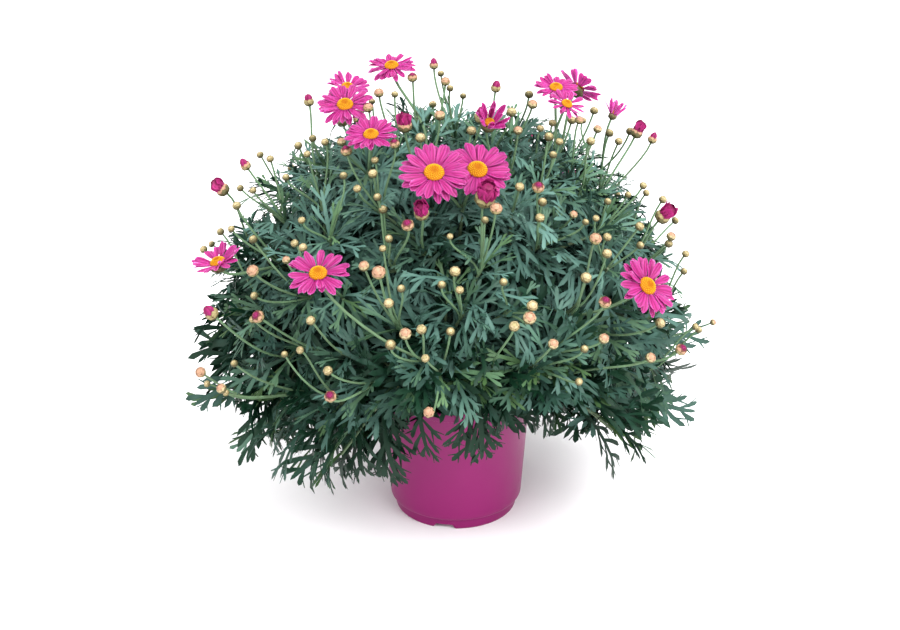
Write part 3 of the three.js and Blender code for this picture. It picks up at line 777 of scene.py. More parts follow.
def scaled(tree, socket, low, high):
    """A stored share from 0 to 1 turned into one from low to high."""
    return join_in(tree, "ShaderNodeMapRange", {"Value": socket, "To Min": low, "To Max": high}).outputs[0]


leaf_green, tree, surface = new_material("leaf_green", 0.5, 0.15)
place = join_in(tree, "ShaderNodeTexCoord")
cloud = join_in(tree, "ShaderNodeTexNoise", {"Vector": place.outputs["Object"], "Scale": 38.0})
tone = join_in(tree, "ShaderNodeMath", {
    0: shade_stored(tree, "tone"), 1: cloud.outputs["Fac"],
}, operation="ADD")
tone = join_in(tree, "ShaderNodeMath", {0: tone.outputs[0], 1: 0.5}, operation="SUBTRACT", use_clamp=True)
outer = blend(tree, scaled(tree, shade_stored(tree, "rib"), 0, 0.4), LEAF_OUTER, LEAF_RIB)
outer = blend(tree, scaled(tree, shade_stored(tree, "face_up"), 0.7, 0), outer, LEAF_UNDER)
green = blend(tree, tone.outputs[0], LEAF_INNER_OLD_AND_SHADED, outer)
green = blend(tree, shade_stored(tree, "young"), green, LEAF_YOUNG)
tree.links.new(green, surface.inputs["Base Color"])


def turn_to(along, up):
    """The turn that lays x along one direction, with z as near as can be to another."""
    x = unit(along)
    y = np.cross(up, x)
    y = unit(y) if np.linalg.norm(y) > 1e-4 else unit(np.cross([0.3, 0.9, 0.1], x))
    z = np.cross(x, y)
    return Matrix(np.column_stack([x, y, z]).tolist()).to_quaternion()


def leaf_on(tuft, number, k, count):
    """Leaf k of a tuft: its place, turn, size, kind, tone and youth, or None where it finds no room.

    The leaves with a negative number are inner ones, further down the shoot."""
    line, low = tuft["line"], tuft["low"]
    axis = unit(line[-1] - line[-3])
    share = max(0, k / (count - 1))
    back = TUFT_DEPTH * (1 - share) ** 1.15 if k >= 0 else TUFT_DEPTH - INNER_STEP * k
    steps = np.linalg.norm(np.diff(line, axis=0), axis=1)
    ahead = np.concatenate([[0], np.cumsum(steps)])
    at = max(0.0, ahead[-1] - back)
    base = np.array([np.interp(at, ahead, line[:, n]) for n in range(3)])
    east = unit(np.cross(UP, axis) + 1e-6)
    north = np.cross(axis, east)
    turn = math.radians(360 * chance(number, 7) + k * GOLDEN_ANGLE)
    outward = math.cos(turn) * east + math.sin(turn) * north
    tilt = math.radians(mix(*LEAF_TILTS, share) + 18 * (chance(number, 20 + k) - 0.5))
    along = math.cos(tilt) * axis + math.sin(tilt) * outward
    along[2] -= mix(-0.1, 0.5, low) * (1 - 0.5 * share)
    along = unit(along)
    length = mix(mix(*UPPER_LENGTH, chance(number, 50 + k)), mix(*LOWER_LENGTH, chance(number, 50 + k)), low)
    length *= mix(1.0, 0.55, share ** 2)
    kinds = YOUNG_KINDS if share > 0.8 else LOWER_KINDS if low > 0.5 else UPPER_KINDS
    kinds = INNER_KINDS if k < 0 else kinds
    kind = kinds[int(chance(number, 110 + k) * len(kinds))]
    furthest = mix(*LEAF_LIMITS, chance(number, 12))
    hang = HANG_OF_TUFT * (chance(number, 13) - 0.5) + HANG_OF_LEAF * (chance(number, 200 + k) - 0.5)
    for _ in range(LIFTS):
        face = unit(axis - (axis @ along) * along + 0.7 * UP)
        face = unit(face + np.cross(along, face) * 0.8 * (chance(number, 80 + k) - 0.5))
        turned_so = turn_to(along, face)
        ends = base + leaf_ends[kind] @ np.array(turned_so.to_matrix()).T * length
        too_low = max(lowest_at(end) - end[2] for end in ends) + hang
        too_far = np.linalg.norm((ends - BUSH_CENTRE) / BUSH_REACH, axis=1).max() - furthest
        if too_low <= 0 and too_far <= 0:
            break
        along = unit(along + UP * min(0.15, max(0.0, too_low / 100)))
        length *= 1 - min(0.12, max(0.0, too_far))
    if too_low > LOW_SLACK or too_far > FAR_SLACK:
        return None
    height = ease(base[2], 90, 330)
    outside = ease(np.linalg.norm((base - BUSH_CENTRE) / BUSH_REACH), 0.5, 0.95)
    # Painted shade and light: the tone rises with height and towards the outside of the bush.
    tone = LEAF_TONE + SHADE_AND_AGE_BY_HEIGHT * height + SHADE_AND_AGE_BY_OUTSIDE * outside + TONE_OF_TOP * share
    tone += TONE_SPREAD * (chance(number, 140 + k) - 0.5)
    young = 0.8 * ease(share, 0.66, 1.0) * mix(0.3, 1, chance(number, 14))
    return base, turned_so, length * MM, kind, tone, young


leaves_of = [[] for _ in range(STEMS)]
for number, tuft in enumerate(tufts):
    count = round(mix(*LEAVES_PER_TUFT, tuft["low"]))
    for k in range(-round(mix(*INNER_LEAVES, tuft["low"])), count):
        leaf = leaf_on(tuft, number, k, count)
        if leaf:
            leaves_of[tuft["stem"]].append(leaf)

for i, (x, y, z, length, sway) in enumerate(HANGING_LEAVES):
    tip = np.array([x, y, z], float)
    out = unit(tip * (1, 1, 0))
    kind = LOWER_KINDS[i % len(LOWER_KINDS)]
    turned_so = turn_to(unit(np.array([sway, 0, 0]) + 0.35 * out - UP), unit(out + 0.2 * lean(i, 1)))
    base = tip - np.array(turned_so.to_matrix()) @ leaf_ends[kind][0] * length
    near = min(tufts, key=lambda t: np.linalg.norm(t["line"][-3] - base))
    start = near["line"][-3]
    line = curve_through([start, mix(start, base, 0.5) + 6 * UP, base], 6)
    paths.append((line, 1.0, 0.8, 0.7, near["stem"]))
    # The hanging leaves get a low tone, which is painted shade.
    leaves_of[near["stem"]].append((base, turned_so, length * MM, kind, 0.3 * chance(i, 15) - 0.3, 0))

for i, leaves in enumerate(leaves_of):
    mesh = grown(copy_patterns, points_for(leaves, ["tone", "young"]), {
        "Patterns": leaf_patterns, "Material": leaf_green,
    })
    show(f"foliage_{i + 1:02d}", mesh, leaf_green, "foliage", f"leafy_stem_{i + 1:02d}")

# Blooms: flat heads of two layers of rays round a disc, on a green cup. The rays are narrow,
# blunt petals of clear pink-magenta with grooves and a nick or two at the tip.
BLOOMS = [  # azimuth, rise and distance from the middle of the bush; diameter; azimuth and rise that
    # it faces; petals in the outer and the inner layer; how far the petals rise; where it grows from
    (-94, 59, 251, 54, -84, 57, 21, 14, 2, None),
    (-78, 62, 238, 55, -76, 59, 20, 14, 4, None),
    (-119, 38, 246, 48, -98, 66, 15, 9, 2, (-100, 27)),
    (-44, 32, 247, 51, -47, 42, 16, 10, 5, None),
    (-148, 33, 247, 44, -162, 72, 14, 8, 18, None),
    (-158, 70, 251, 46, -92, 65, 20, 12, 3, None),
    (163, 70, 247, 38, -60, 68, 12, 7, 12, None),
    (-124, 66, 251, 42, -101, 70, 17, 10, 4, None),
    (134, 75, 252, 42, -110, 76, 18, 10, -3, (-120, 82)),
    (-2, 70, 256, 38, -80, 74, 15, 8, 5, None),
    (21, 63, 254, 42, 52, 32, 13, 8, 14, None),
    (-22, 67, 259, 32, -50, 62, 12, 6, 8, None),
    (60, 21, 250, 46, 62, 40, 16, 9, 4, None),
    (112, 23, 250, 44, 106, 44, 16, 9, 3, None),
    (126, 5, 246, 47, 126, 30, 16, 9, 5, None),
    (88, 8, 246, 45, 90, 30, 16, 9, 4, None),
]
STALK_REACH = 48
SEAT_SHARE = 0.25
DISC_SHARE = 0.29
DISC_RISE = 0.34
PETAL_WIDTH = 0.124
PETAL_THICKNESS = 0.022
UNEVENNESS = 0.11
FLORETS = 120
BLOOM_STALK = (1.25, 1.15, 0.85)  # first radius, last radius and tone
PETAL_DEEP = (0.108, 0.0015, 0.031, 1)
PETAL_PINK = (0.262, 0.0070, 0.114, 1)
PETAL_PALE = (0.40, 0.062, 0.262, 1)
# The underside colour is paler: partly the petal's own paler back, partly painted light that stands in for
# light shining through the petal.
PETAL_UNDER_AND_GLOW = (0.56, 0.060, 0.30, 1)
DISC_GOLD = (0.56, 0.305, 0.010, 1)
DISC_AMBER = (0.36, 0.115, 0.003, 1)
DISC_EDGE = (0.30, 0.072, 0.002, 1)


def petal_pattern(curl, cup, twist, nick):
    """A petal along x, 1 m long and 1 m to each side, with two grooves and a nicked tip."""
    across = np.linspace(-1, 1, 7)
    along = np.array([0, 0.12, 0.28, 0.46, 0.63, 0.79, 0.91, 1])
    width = np.array([0.28, 0.42, 0.65, 0.87, 1.0, 0.98, 0.82, 0.46])
    tip = np.array([-0.105, -0.03, -0.045, 0, -0.04, -0.025, -0.1]) * nick
    points, faces = [], []
    for v, wide in zip(along, width):
        for n, u in enumerate(across):
            groove = 0.030 * math.cos(3 * math.pi * u) * math.sin(math.pi * min(1, v + 0.15))
            spin = math.radians(twist) * v * u * 0.16
            height = groove + curl * v * v + cup * u * u * 0.06 + spin
            points.append((v + tip[n] * v ** 3, u * wide, height))
    for row in range(len(along) - 1):
        for n in range(6):
            a = row * 7 + n
            faces.append([a, a + 7, a + 8, a + 1])
    both, shell, origin = closed(points, faces, PETAL_THICKNESS)
    mesh = new_mesh("petal", both / MM, shell, sharp=60)
    set_values(mesh, "side", "FLOAT", np.tile(across, len(along))[origin])
    set_values(mesh, "far_out", "FLOAT", np.repeat(along, 7)[origin])
    set_values(mesh, "face_up", "FLOAT", np.arange(len(both)) < len(points))
    return mesh


petal_patterns = kept_apart("petal_patterns", [
    petal_pattern(-0.10, 1.0, 6, 1.0),
    petal_pattern(0.05, -0.6, -8, 1.3),
    petal_pattern(-0.02, 1.4, 10, 0.7),
    petal_pattern(-0.16, 0.4, -5, 1.1),
    petal_pattern(0.10, 1.6, 3, 0.9),
])


def calculate(tree, operation, *values):
    """The result of one step of arithmetic on sockets or numbers."""
    return join_in(tree, "ShaderNodeMath", dict(enumerate(values)), operation=operation).outputs[0]


def drawn(tree, low, high, seed, shift):
    """A seeded random number for each point."""
    node = tree.nodes.new("FunctionNodeRandomValue")
    wanted = {"Min": low, "Max": high}
    for socket in node.inputs:
        if socket.enabled and socket.name in wanted:
            socket.default_value = wanted[socket.name]
    tree.links.new(calculate(tree, "ADD", seed, shift), node.inputs["Seed"])
    return next(s for s in node.outputs if s.enabled)


def toned(tree, copies, tone):
    """Stores a tone on each copy."""
    return join_in(tree, "GeometryNodeStoreNamedAttribute", {
        "Geometry": copies, "Name": "tone", "Value": tone,
    }, data_type="FLOAT", domain="INSTANCE").outputs[0]


def layer_of_petals(tree, given, count, shift, lift, longer):
    """One ring of petals, turned outwards from their seats, each a little uneven."""
    seats = join_in(tree, "GeometryNodeMeshCircle", {"Vertices": count, "Radius": given["Seat"]})
    number = join_in(tree, "GeometryNodeInputIndex").outputs[0]
    step = calculate(tree, "DIVIDE", 2 * math.pi, count)
    azimuth = calculate(tree, "MULTIPLY", number, step)
    stray = calculate(tree, "MULTIPLY", step, drawn(tree, -0.13, 0.13, given["Seed"], shift))
    either_way = drawn(tree, -1.0, 1.0, given["Seed"], shift + 1)
    loose = calculate(tree, "MULTIPLY", given["Unevenness"], either_way)
    rise = calculate(tree, "ADD", calculate(tree, "ADD", given["Rise"], lift), loose)
    roll = drawn(tree, -0.22, 0.22, given["Seed"], shift + 2)
    euler = join_in(tree, "ShaderNodeCombineXYZ", {
        "X": roll, "Y": calculate(tree, "MULTIPLY", rise, -1.0), "Z": calculate(tree, "ADD", azimuth, stray),
    })
    turn = join_in(tree, "FunctionNodeEulerToRotation", {"Euler": euler.outputs[0]})
    stretch = drawn(tree, 0.90 * longer, 1.02 * longer, given["Seed"], shift + 3)
    long = calculate(tree, "MULTIPLY", given["Length"], stretch)
    wide = calculate(tree, "MULTIPLY", given["Width"], drawn(tree, 0.88, 1.1, given["Seed"], shift + 4))
    size = join_in(tree, "ShaderNodeCombineXYZ", {"X": long, "Y": wide, "Z": given["Length"]})
    kind = join_in(tree, "FunctionNodeFloatToInt", {
        "Float": drawn(tree, 0.0, 49.0, given["Seed"], shift + 5),
    }).outputs[0]
    copies = copied_onto(tree, given, seats.outputs[0], kind, turn.outputs[0], size.outputs[0])
    return toned(tree, copies, drawn(tree, 0.0, 1.0, given["Seed"], shift + 6))


petal_tree, given = new_tree("two_layers_of_petals", [
    ("Outer petals", "Int", 12), ("Inner petals", "Int", 8), ("Seat", "Float", 0.006),
    ("Length", "Float", 0.018), ("Width", "Float", 0.004), ("Rise", "Float", 0.05),
    ("Unevenness", "Float", 0.1), ("Seed", "Int", 1), ("Patterns", "Collection", None),
    ("Material", "Material", None),
])
layers = join_in(petal_tree, "GeometryNodeJoinGeometry")
for layer in (
    layer_of_petals(petal_tree, given, given["Outer petals"], 10, 0.0, 1.0),
    layer_of_petals(petal_tree, given, given["Inner petals"], 20, 0.13, 0.93),
):
    petal_tree.links.new(layer, layers.inputs[0])
end_tree(petal_tree, layers.outputs[0], given["Material"])

floret_tree, given = new_tree("florets_on_disc", [
    ("Florets", "Int", FLORETS), ("Radius", "Float", 0.008), ("Height", "Float", 0.003),
    ("Patterns", "Collection", None), ("Material", "Material", None),
])
number = join_in(floret_tree, "GeometryNodeInputIndex").outputs[0]
place_share = calculate(floret_tree, "DIVIDE", calculate(floret_tree, "ADD", number, 0.5), given["Florets"])
ring_share = calculate(floret_tree, "SQRT", place_share)
azimuth = calculate(floret_tree, "MULTIPLY", number, math.radians(GOLDEN_ANGLE))
reach = calculate(floret_tree, "MULTIPLY", ring_share, given["Radius"])
dome = calculate(floret_tree, "SUBTRACT", 1.0, calculate(floret_tree, "POWER", place_share, 1.6))
dimple = calculate(floret_tree, "MULTIPLY", -0.42, calculate(floret_tree, "POWER", 2.0, calculate(
    floret_tree, "MULTIPLY", place_share, -14.0,
)))
height = calculate(floret_tree, "MULTIPLY", given["Height"], calculate(floret_tree, "ADD", dome, dimple))
position = join_in(floret_tree, "ShaderNodeCombineXYZ", {
    "X": calculate(floret_tree, "MULTIPLY", reach, calculate(floret_tree, "COSINE", azimuth)),
    "Y": calculate(floret_tree, "MULTIPLY", reach, calculate(floret_tree, "SINE", azimuth)),
    "Z": height,
})
seats = join_in(floret_tree, "GeometryNodePoints", {
    "Count": given["Florets"], "Position": position.outputs[0],
})
tipped = join_in(floret_tree, "ShaderNodeCombineXYZ", {
    "Y": calculate(floret_tree, "MULTIPLY", place_share, 0.9), "Z": azimuth,
})
turn = join_in(floret_tree, "FunctionNodeEulerToRotation", {"Euler": tipped.outputs[0]})
big = calculate(floret_tree, "MULTIPLY", given["Radius"], calculate(floret_tree, "ADD", 0.105, calculate(
    floret_tree, "MULTIPLY", place_share, 0.075,
)))
florets = copied_onto(floret_tree, given, seats.outputs[0], number, turn.outputs[0], big)
both = join_in(floret_tree, "GeometryNodeJoinGeometry")
floret_tree.links.new(toned(floret_tree, florets, place_share), both.inputs[0])
floret_tree.links.new(given["Geometry"], both.inputs[0])
end_tree(floret_tree, both.outputs[0], given["Material"])

FLORET_OUTLINES = (
    [(0, -0.6), (0.46, -0.1), (0.40, 0.42), (0, 0.62)],
    [(0, -0.6), (0.5, -0.05), (0.34, 0.5), (0, 0.5)],
)
floret_shapes = [turned(outline, 5) for outline in FLORET_OUTLINES]
floret_patterns = kept_apart("floret_patterns", [
    new_mesh("floret", np.array(points) / MM, faces) for points, faces in floret_shapes
])

petal_pink, tree, surface = new_material("petal_pink", 0.5, 0.15)
surface.inputs["Subsurface Weight"].default_value = 0.8
surface.inputs["Subsurface Radius"].default_value = (1, 0.6, 0.9)
surface.inputs["Subsurface Scale"].default_value = 0.0012
streak_place = join_in(tree, "ShaderNodeCombineXYZ", {
    "X": calculate(tree, "MULTIPLY", shade_stored(tree, "side"), 2.6),
    "Y": calculate(tree, "MULTIPLY", shade_stored(tree, "far_out"), 0.7),
    "Z": calculate(tree, "MULTIPLY", shade_stored(tree, "tone"), 9.0),
})
streak = join_in(tree, "ShaderNodeTexNoise", {
    "Vector": streak_place.outputs[0], "Scale": 2.2, "Detail": 3.0,
})
edge = calculate(tree, "POWER", calculate(tree, "ABSOLUTE", shade_stored(tree, "side")), 2.0)
edge = calculate(tree, "MULTIPLY", edge, 0.45)
outer = calculate(tree, "MULTIPLY", calculate(tree, "POWER", shade_stored(tree, "far_out"), 1.5), 0.3)
uneven = scaled(tree, streak.outputs["Fac"], -0.35, 0.35)
pale = calculate(tree, "ADD", edge, calculate(tree, "ADD", outer, uneven))
pink = blend(tree, pale, PETAL_PINK, PETAL_PALE)
near = join_in(tree, "ShaderNodeMapRange", {
    "Value": shade_stored(tree, "far_out"), "From Min": 0.0, "From Max": 0.45, "To Min": 0.6, "To Max": 0.0,
})
# Painted shade: dark lines along the grooves of each petal.
painted_groove_shade = calculate(tree, "COSINE", calculate(tree, "MULTIPLY", shade_stored(tree, "side"), 3 * math.pi))
painted_groove_shade = calculate(tree, "MULTIPLY", calculate(tree, "SUBTRACT", 1.0, painted_groove_shade), 0.26)
deep = calculate(tree, "MAXIMUM", near.outputs[0], painted_groove_shade)
pink = blend(tree, deep, pink, PETAL_DEEP)
# Paler underside, partly painted light shining through the petal.
under = blend(tree, scaled(tree, shade_stored(tree, "face_up"), 0.85, 0), pink, PETAL_UNDER_AND_GLOW)
tree.links.new(under, surface.inputs["Base Color"])

disc_yellow, tree, surface = new_material("disc_yellow", 0.75, 0.15)
ripeness = join_in(tree, "ShaderNodeMapRange", {"Value": shade_stored(tree, "tone"), "From Max": 0.28})
gold = blend(tree, ripeness.outputs[0], DISC_AMBER, DISC_GOLD)
edge = join_in(tree, "ShaderNodeMapRange", {"Value": shade_stored(tree, "tone"), "From Min": 0.72})
tree.links.new(blend(tree, edge.outputs[0], gold, DISC_EDGE), surface.inputs["Base Color"])


def turn_of(facing, spin=0.0):
    """The turn from straight up to where a head faces, after a spin on its own axis."""
    return Vector(UP).rotation_difference(Vector(facing)) @ Quaternion((0, 0, 1), spin)


def set_in_place(mesh, point, facing, spin=0.0):
    """Moves a mesh made round the origin to where its head stands and faces."""
    mesh.transform(Matrix.Translation(Vector(point * MM)) @ turn_of(facing, spin).to_matrix().to_4x4())


def tuft_near(toward):
    """The tuft that lies nearest to a direction."""
    return tufts[int(np.argmax([t["toward"] @ toward for t in tufts]))]


def tuft_under(point, toward):
    """The tuft that a bud at a point would grow out of: a little below it and further in."""
    foot = point - STALK_REACH * unit(toward + 0.9 * UP)
    return min(tufts, key=lambda t: np.linalg.norm(t["line"][-2] - foot))


def add_stalk(point, facing, tuft, first, last, tone):
    """Draws the stalk of a head from a tuft."""
    start = tuft["line"][-2]
    axis = unit(tuft["line"][-1] - tuft["line"][-3])
    reach = np.linalg.norm(point - start)
    away = unit(axis + (point - start) / reach)
    line = curve_through([start, start + away * 0.35 * reach, point - facing * 0.25 * reach, point], 9)
    paths.append((line, first, last, tone, tuft["stem"]))


def petals_round(outer, inner, seat, length, width, rise, uneven, seed, material):
    """An outer and an inner layer of petals round the origin."""
    return grown(petal_tree, bpy.data.meshes.new("seat"), {
        "Outer petals": outer, "Inner petals": inner, "Seat": seat * MM, "Length": length * MM,
        "Width": width * MM, "Rise": math.radians(rise), "Unevenness": uneven, "Seed": seed,
        "Patterns": petal_patterns, "Material": material,
    })


def disc_dome(radius, height):
    """The smooth dome that the florets of a disc stand on."""
    outline = [(0, -0.5), (0.9 * radius, -0.5), (radius, 0), (0.93 * radius, 0.28 * height)]
    outline += [(0.7 * radius, 0.55 * height), (0.4 * radius, 0.7 * height), (0, 0.5 * height)]
    points, faces = turned(outline, 20)
    return new_mesh("dome", points, faces)


def disc_of(count, radius, reach, height):
    """A dome covered in florets out to a reach."""
    return grown(floret_tree, disc_dome(radius, height), {
        "Florets": count, "Radius": reach * MM, "Height": height * MM,
        "Patterns": floret_patterns, "Material": disc_yellow,
    })


for i, row in enumerate(BLOOMS):
    azimuth, rise, distance, diameter, face_turn, face_rise, outer, inner, lift, root = row
    toward = direction(azimuth, rise)
    point = BUSH_CENTRE + toward * distance
    facing = direction(face_turn, face_rise)
    radius = diameter / 2
    spin = 2 * math.pi * chance(i, 5)
    name = f"bloom_{i + 1:02d}"
    seat = SEAT_SHARE * radius
    length = (1 - SEAT_SHARE) * radius
    width = PETAL_WIDTH * radius
    petals = petals_round(outer, inner, seat, length, width, lift, UNEVENNESS, 40 + i, petal_pink)
    set_in_place(petals, point + facing * 0.6, facing, spin)
    show(f"{name}_petals", petals, petal_pink, "petals", f"{name}_rays")
    disc_radius = DISC_SHARE * radius
    disc_height = DISC_RISE * disc_radius * 1.5
    disc = disc_of(FLORETS, disc_radius, 0.94 * disc_radius, disc_height)
    set_in_place(disc, point + facing * 1.4, facing, spin)
    show(f"{name}_florets", disc, disc_yellow, "discs", f"{name}_disc")
    tuft = tuft_near(direction(*root) if root else toward)
    add_stalk(point - facing * 3, facing, tuft, *BLOOM_STALK)

# Buds and cups: round buds and the cups under the blooms are covered in small overlapping
# scales, green below and straw-coloured above. Older buds show pink at the top.
SCALE_RINGS = ((-42, 6, 28), (-12, 7, 27), (18, 6, 24), (46, 5, 20))
OLIVE = (0.048, 0.054, 0.023)
MOSS = (0.110, 0.108, 0.048)
STRAW = (0.29, 0.245, 0.115)
CREAM = (0.44, 0.36, 0.20)
RUST = (0.11, 0.062, 0.026)
BLUSH = (0.41, 0.235, 0.150)
BUD_PINK = (0.105, 0.0016, 0.030)
BUD_ROSE = (0.268, 0.010, 0.104)


def on_ball(azimuth, rise, radius):
    """A point of a slightly flattened ball."""
    a = math.radians(azimuth)
    r = math.radians(rise)
    level = radius * math.cos(r)
    return (level * math.cos(a), level * math.sin(a), 0.92 * radius * math.sin(r))


def scales_on_ball(seed, rings, colours):
    """Overlapping scales on a ball of radius 1: points, faces and colours."""
    points, faces, tints = [], [], []
    for level, (rise, count, tall) in enumerate(rings):
        colour = colours[min(level, len(colours) - 1)]
        for n in range(count):
            azimuth = 360 * (n + 0.5 * level + 0.35 * chance(seed + level, n)) / count
            wide = 200 / count
            start = len(points)
            rim = ((-0.75, -0.8), (0.75, -0.8), (1, 0), (0.55, 0.7), (0, 1.1), (-0.55, 0.7), (-1, 0))
            for across, up in rim:
                points.append(on_ball(azimuth + wide * across, rise + tall * up, 1.015 + 0.035 * max(0, up)))
                tints.append(mix(np.array(colour), np.array(RUST), 0.42 if up > 0.5 else 0.32))
            points.append(on_ball(azimuth, rise + tall * 0.1, 1.09))
            points.append(on_ball(azimuth, rise, 0.93))
            tints += [colour, colour]
            count_rim = len(rim)
            for k in range(count_rim):
                here, there = start + k, start + (k + 1) % count_rim
                faces.append([here, there, start + count_rim])
                faces.append([there, here, start + count_rim + 1])
    return points, faces, tints


FOLD_TWIST = 0.45  # radians that a fold turns per unit of height


def bud_pattern(seed, colours, top, cone=None, sides=24, ridges=5, closed_top=True):
    """A bud of radius 1 m, with its middle at the origin and its stalk below."""
    outline = [(0, -0.9), (0.45, -0.8), (0.84, -0.42), (1, 0.05), (0.88, 0.45), (0.52, 0.72), (0, 0.78)]
    points, faces = turned(outline, 12)
    tints = [colours[0] if p[2] < -0.2 else RUST if p[2] < 0.6 else top for p in points]
    if cone:
        extra, more = turned(cone, sides)
        faces += [[k + len(points) for k in f] for f in more]
        for n, (x, y, z) in enumerate(extra):
            angle = math.atan2(y, x)
            fold = round(ridges * angle / (2 * math.pi), 6) % 1
            wide = math.hypot(x, y) * mix(0.95, 1.09, fold)
            twisted = angle + FOLD_TWIST * z
            points.append((wide * math.cos(twisted), wide * math.sin(twisted), z))
            # Painted shade: each fold is darker where it lies tucked under its neighbour and lighter on its
            # outer edge.
            tints.append(mix(np.array(BUD_PINK), np.array(BUD_ROSE), fold))
    rings = SCALE_RINGS[:3] if cone or not closed_top else SCALE_RINGS
    extra, more, colour = scales_on_ball(seed, rings, colours)
    faces += [[k + len(points) for k in f] for f in more]
    points += extra
    tints += colour
    mesh = new_mesh("bud", np.array(points) / MM, faces, sharp=60)
    set_values(mesh, "tint", "FLOAT_COLOR", [(*t, 1) for t in tints])
    return mesh


SHORT_CONE = [(0, 0.3), (0.42, 0.6), (0.34, 0.95), (0, 1.08)]
WIDE_CONE = [(0, 0.2), (0.80, 0.45), (0.78, 0.95), (0.48, 1.45), (0, 1.66)]
TALL_CONE = [(0, 0.2), (0.74, 0.5), (0.68, 1.05), (0.36, 1.55), (0, 1.78)]
GREEN_KINDS = (0, 1)
CREAM_KINDS = (2, 3)
BLUSH_KINDS = (4, 5)
CONE_KINDS = (6, 7)
bud_patterns = kept_apart("bud_patterns", [
    bud_pattern(701, (OLIVE, OLIVE, MOSS, STRAW), CREAM),
    bud_pattern(711, (OLIVE, MOSS, STRAW, CREAM), STRAW),
    bud_pattern(721, (OLIVE, MOSS, STRAW, CREAM), CREAM),
    bud_pattern(731, (OLIVE, MOSS, CREAM, BLUSH), BLUSH),
    bud_pattern(741, (OLIVE, STRAW, BLUSH, BLUSH), BLUSH),
    bud_pattern(751, (OLIVE, STRAW, BLUSH), BUD_PINK, SHORT_CONE),
    bud_pattern(761, (OLIVE, STRAW, STRAW), BUD_PINK, WIDE_CONE),
    bud_pattern(771, (OLIVE, STRAW, BLUSH), BUD_PINK, TALL_CONE),
])

# Each bud: azimuth, rise, diameter, and how much further out than the others of its table it is.
GREEN_BUDS = [
    (-167, 45, 6.5), (-159, 47, 6.5), (-159, 37, 7), (-168, 53, 7), (-162, 59, 7.5),
    (-152, 59, 6.5), (-160, 62, 7), (-151, 63, 7), (-150, 53, 6.5), (-155, 39, 6.5),
    (-144, 40, 7.5), (-132, 47, 6.5), (-128, 58, 7), (-120, 56, 7), (-112, 55, 7), (-120, 63, 6.5),
    (-105, 47, 7), (-106, 45, 6), (-135, 31, 7), (-133, 27, 7), (-135, 18, 6.5), (-136, 12, 6),
    (-123, 23, 6), (-113, 22, 8), (-100, 38, 7), (-95, 31, 8.5), (-101, 28, 9), (-94, 26, 7),
    (-91, 39, 7), (-87, 38, 7), (-77, 39, 7), (-89, 48, 5.5), (-79, 51, 6.5), (-76, 31, 9),
    (-62, 25, 7), (-46, 43, 7.5), (-50, 47, 6), (-46, 47, 6), (-38, 49, 6.5), (-65, 57, 8),
    (-60, 53, 8), (-63, 50, 8), (-43, 62, 7), (-33, 64, 7), (-35, 66, 8.5), (-21, 68, 7),
    (16, 73, 8), (-6, 65, 8), (5, 56, 8), (2, 54, 7.5), (18, 49, 8, 8), (-17, 47, 7), (-28, 48, 6),
    (-33, 42, 8), (-37, 39, 7), (-13, 42, 7.5), (-26, 36, 7.5), (-21, 32, 7), (-26, 30, 6.5),
    (-30, 20, 6.5), (-29, 19, 6.5), (94, 73, 6.5, 2), (48, 89, 6.5), (-178, 80, 6.5),
]
CREAM_BUDS = [
    (-157, 43, 8), (-139, 64, 8), (-116, 59, 8), (-129, 39, 7), (-126, 42, 7.5), (-136, 13, 9),
    (-118, 30, 8), (-109, 41, 9), (-102, 35, 8.5), (-98, 30, 10), (-88, 41, 9), (-73, 32, 11),
    (-72, 34, 9.5), (-69, 27, 9), (-58, 37, 9.5), (-58, 26, 9), (-50, 40, 8.5), (-17, 73, 9),
    (-22, 60, 8), (-8, 60, 8), (22, 57, 8), (-26, 37, 8.5), (-43, 25, 9), (-48, 20, 9),
    (-41, 74, 9), (-51, 69, 8), (-76, 71, 8.5), (-95, 76, 9.5), (-103, 69, 9),
]
BLUSH_BUDS = [
    (-136, 35, 10.5), (-130, 28, 11), (-142, 14, 9.5), (-111, 18, 10), (-105, 40, 11.5),
    (-100, 49, 10.5), (-76, 52, 10.5), (-56, 32, 10.5), (-52, 43, 10.5), (-61, 55, 10.5),
    (-14, 64, 8), (-40, 19, 10.5), (-101, 89, 8.5), (156, 83, 9.5), (-165, 77, 9), (-113, 66, 9),
    (-148, 73, 9), (-131, 62, 10), (-93, 17, 9),
]
CONE_BUDS = [
    (171, 63, 9.5), (-166, 49, 9.5), (-142, 25, 12), (104, 80, 8.5), (-26, 80, 9), (13, 46, 9, 4),
    (-62, 76, 13, -10),
]
BUD_TABLES = (  # rows, kinds and the distance from the middle of the bush
    (GREEN_BUDS, GREEN_KINDS, 239),
    (CREAM_BUDS, CREAM_KINDS, 244),
    (BLUSH_BUDS, BLUSH_KINDS, 247),
    (CONE_BUDS, CONE_KINDS, 250),
)
BUD_SHARE = 0.43  # a bud's radius inside its scales, as a share of its diameter
BUD_LEAN = 0.22
SHOOT_BUD_REACH = (1.05, 1.11)
SHOOT_BUD_SWAY = 16
SHOOT_BUD_SIZES = (6, 7.8)
BACK_BUDS = 150
BACK_TURN = 37
BACK_FACED = -0.35
BACK_HIGHEST = 0.75
BACK_DISTANCES = (236, 250)
BACK_SMALL_SIZES = (6.2, 8)
BACK_LARGE_SIZES = (8, 10.5)
BACK_CLEAR = 0.994  # a bud of the back whose direction lies nearer to another's is left out
CAMERA_TILT = 25
LOWEST_BUD = 0.16
BUD_STALK = 0.95

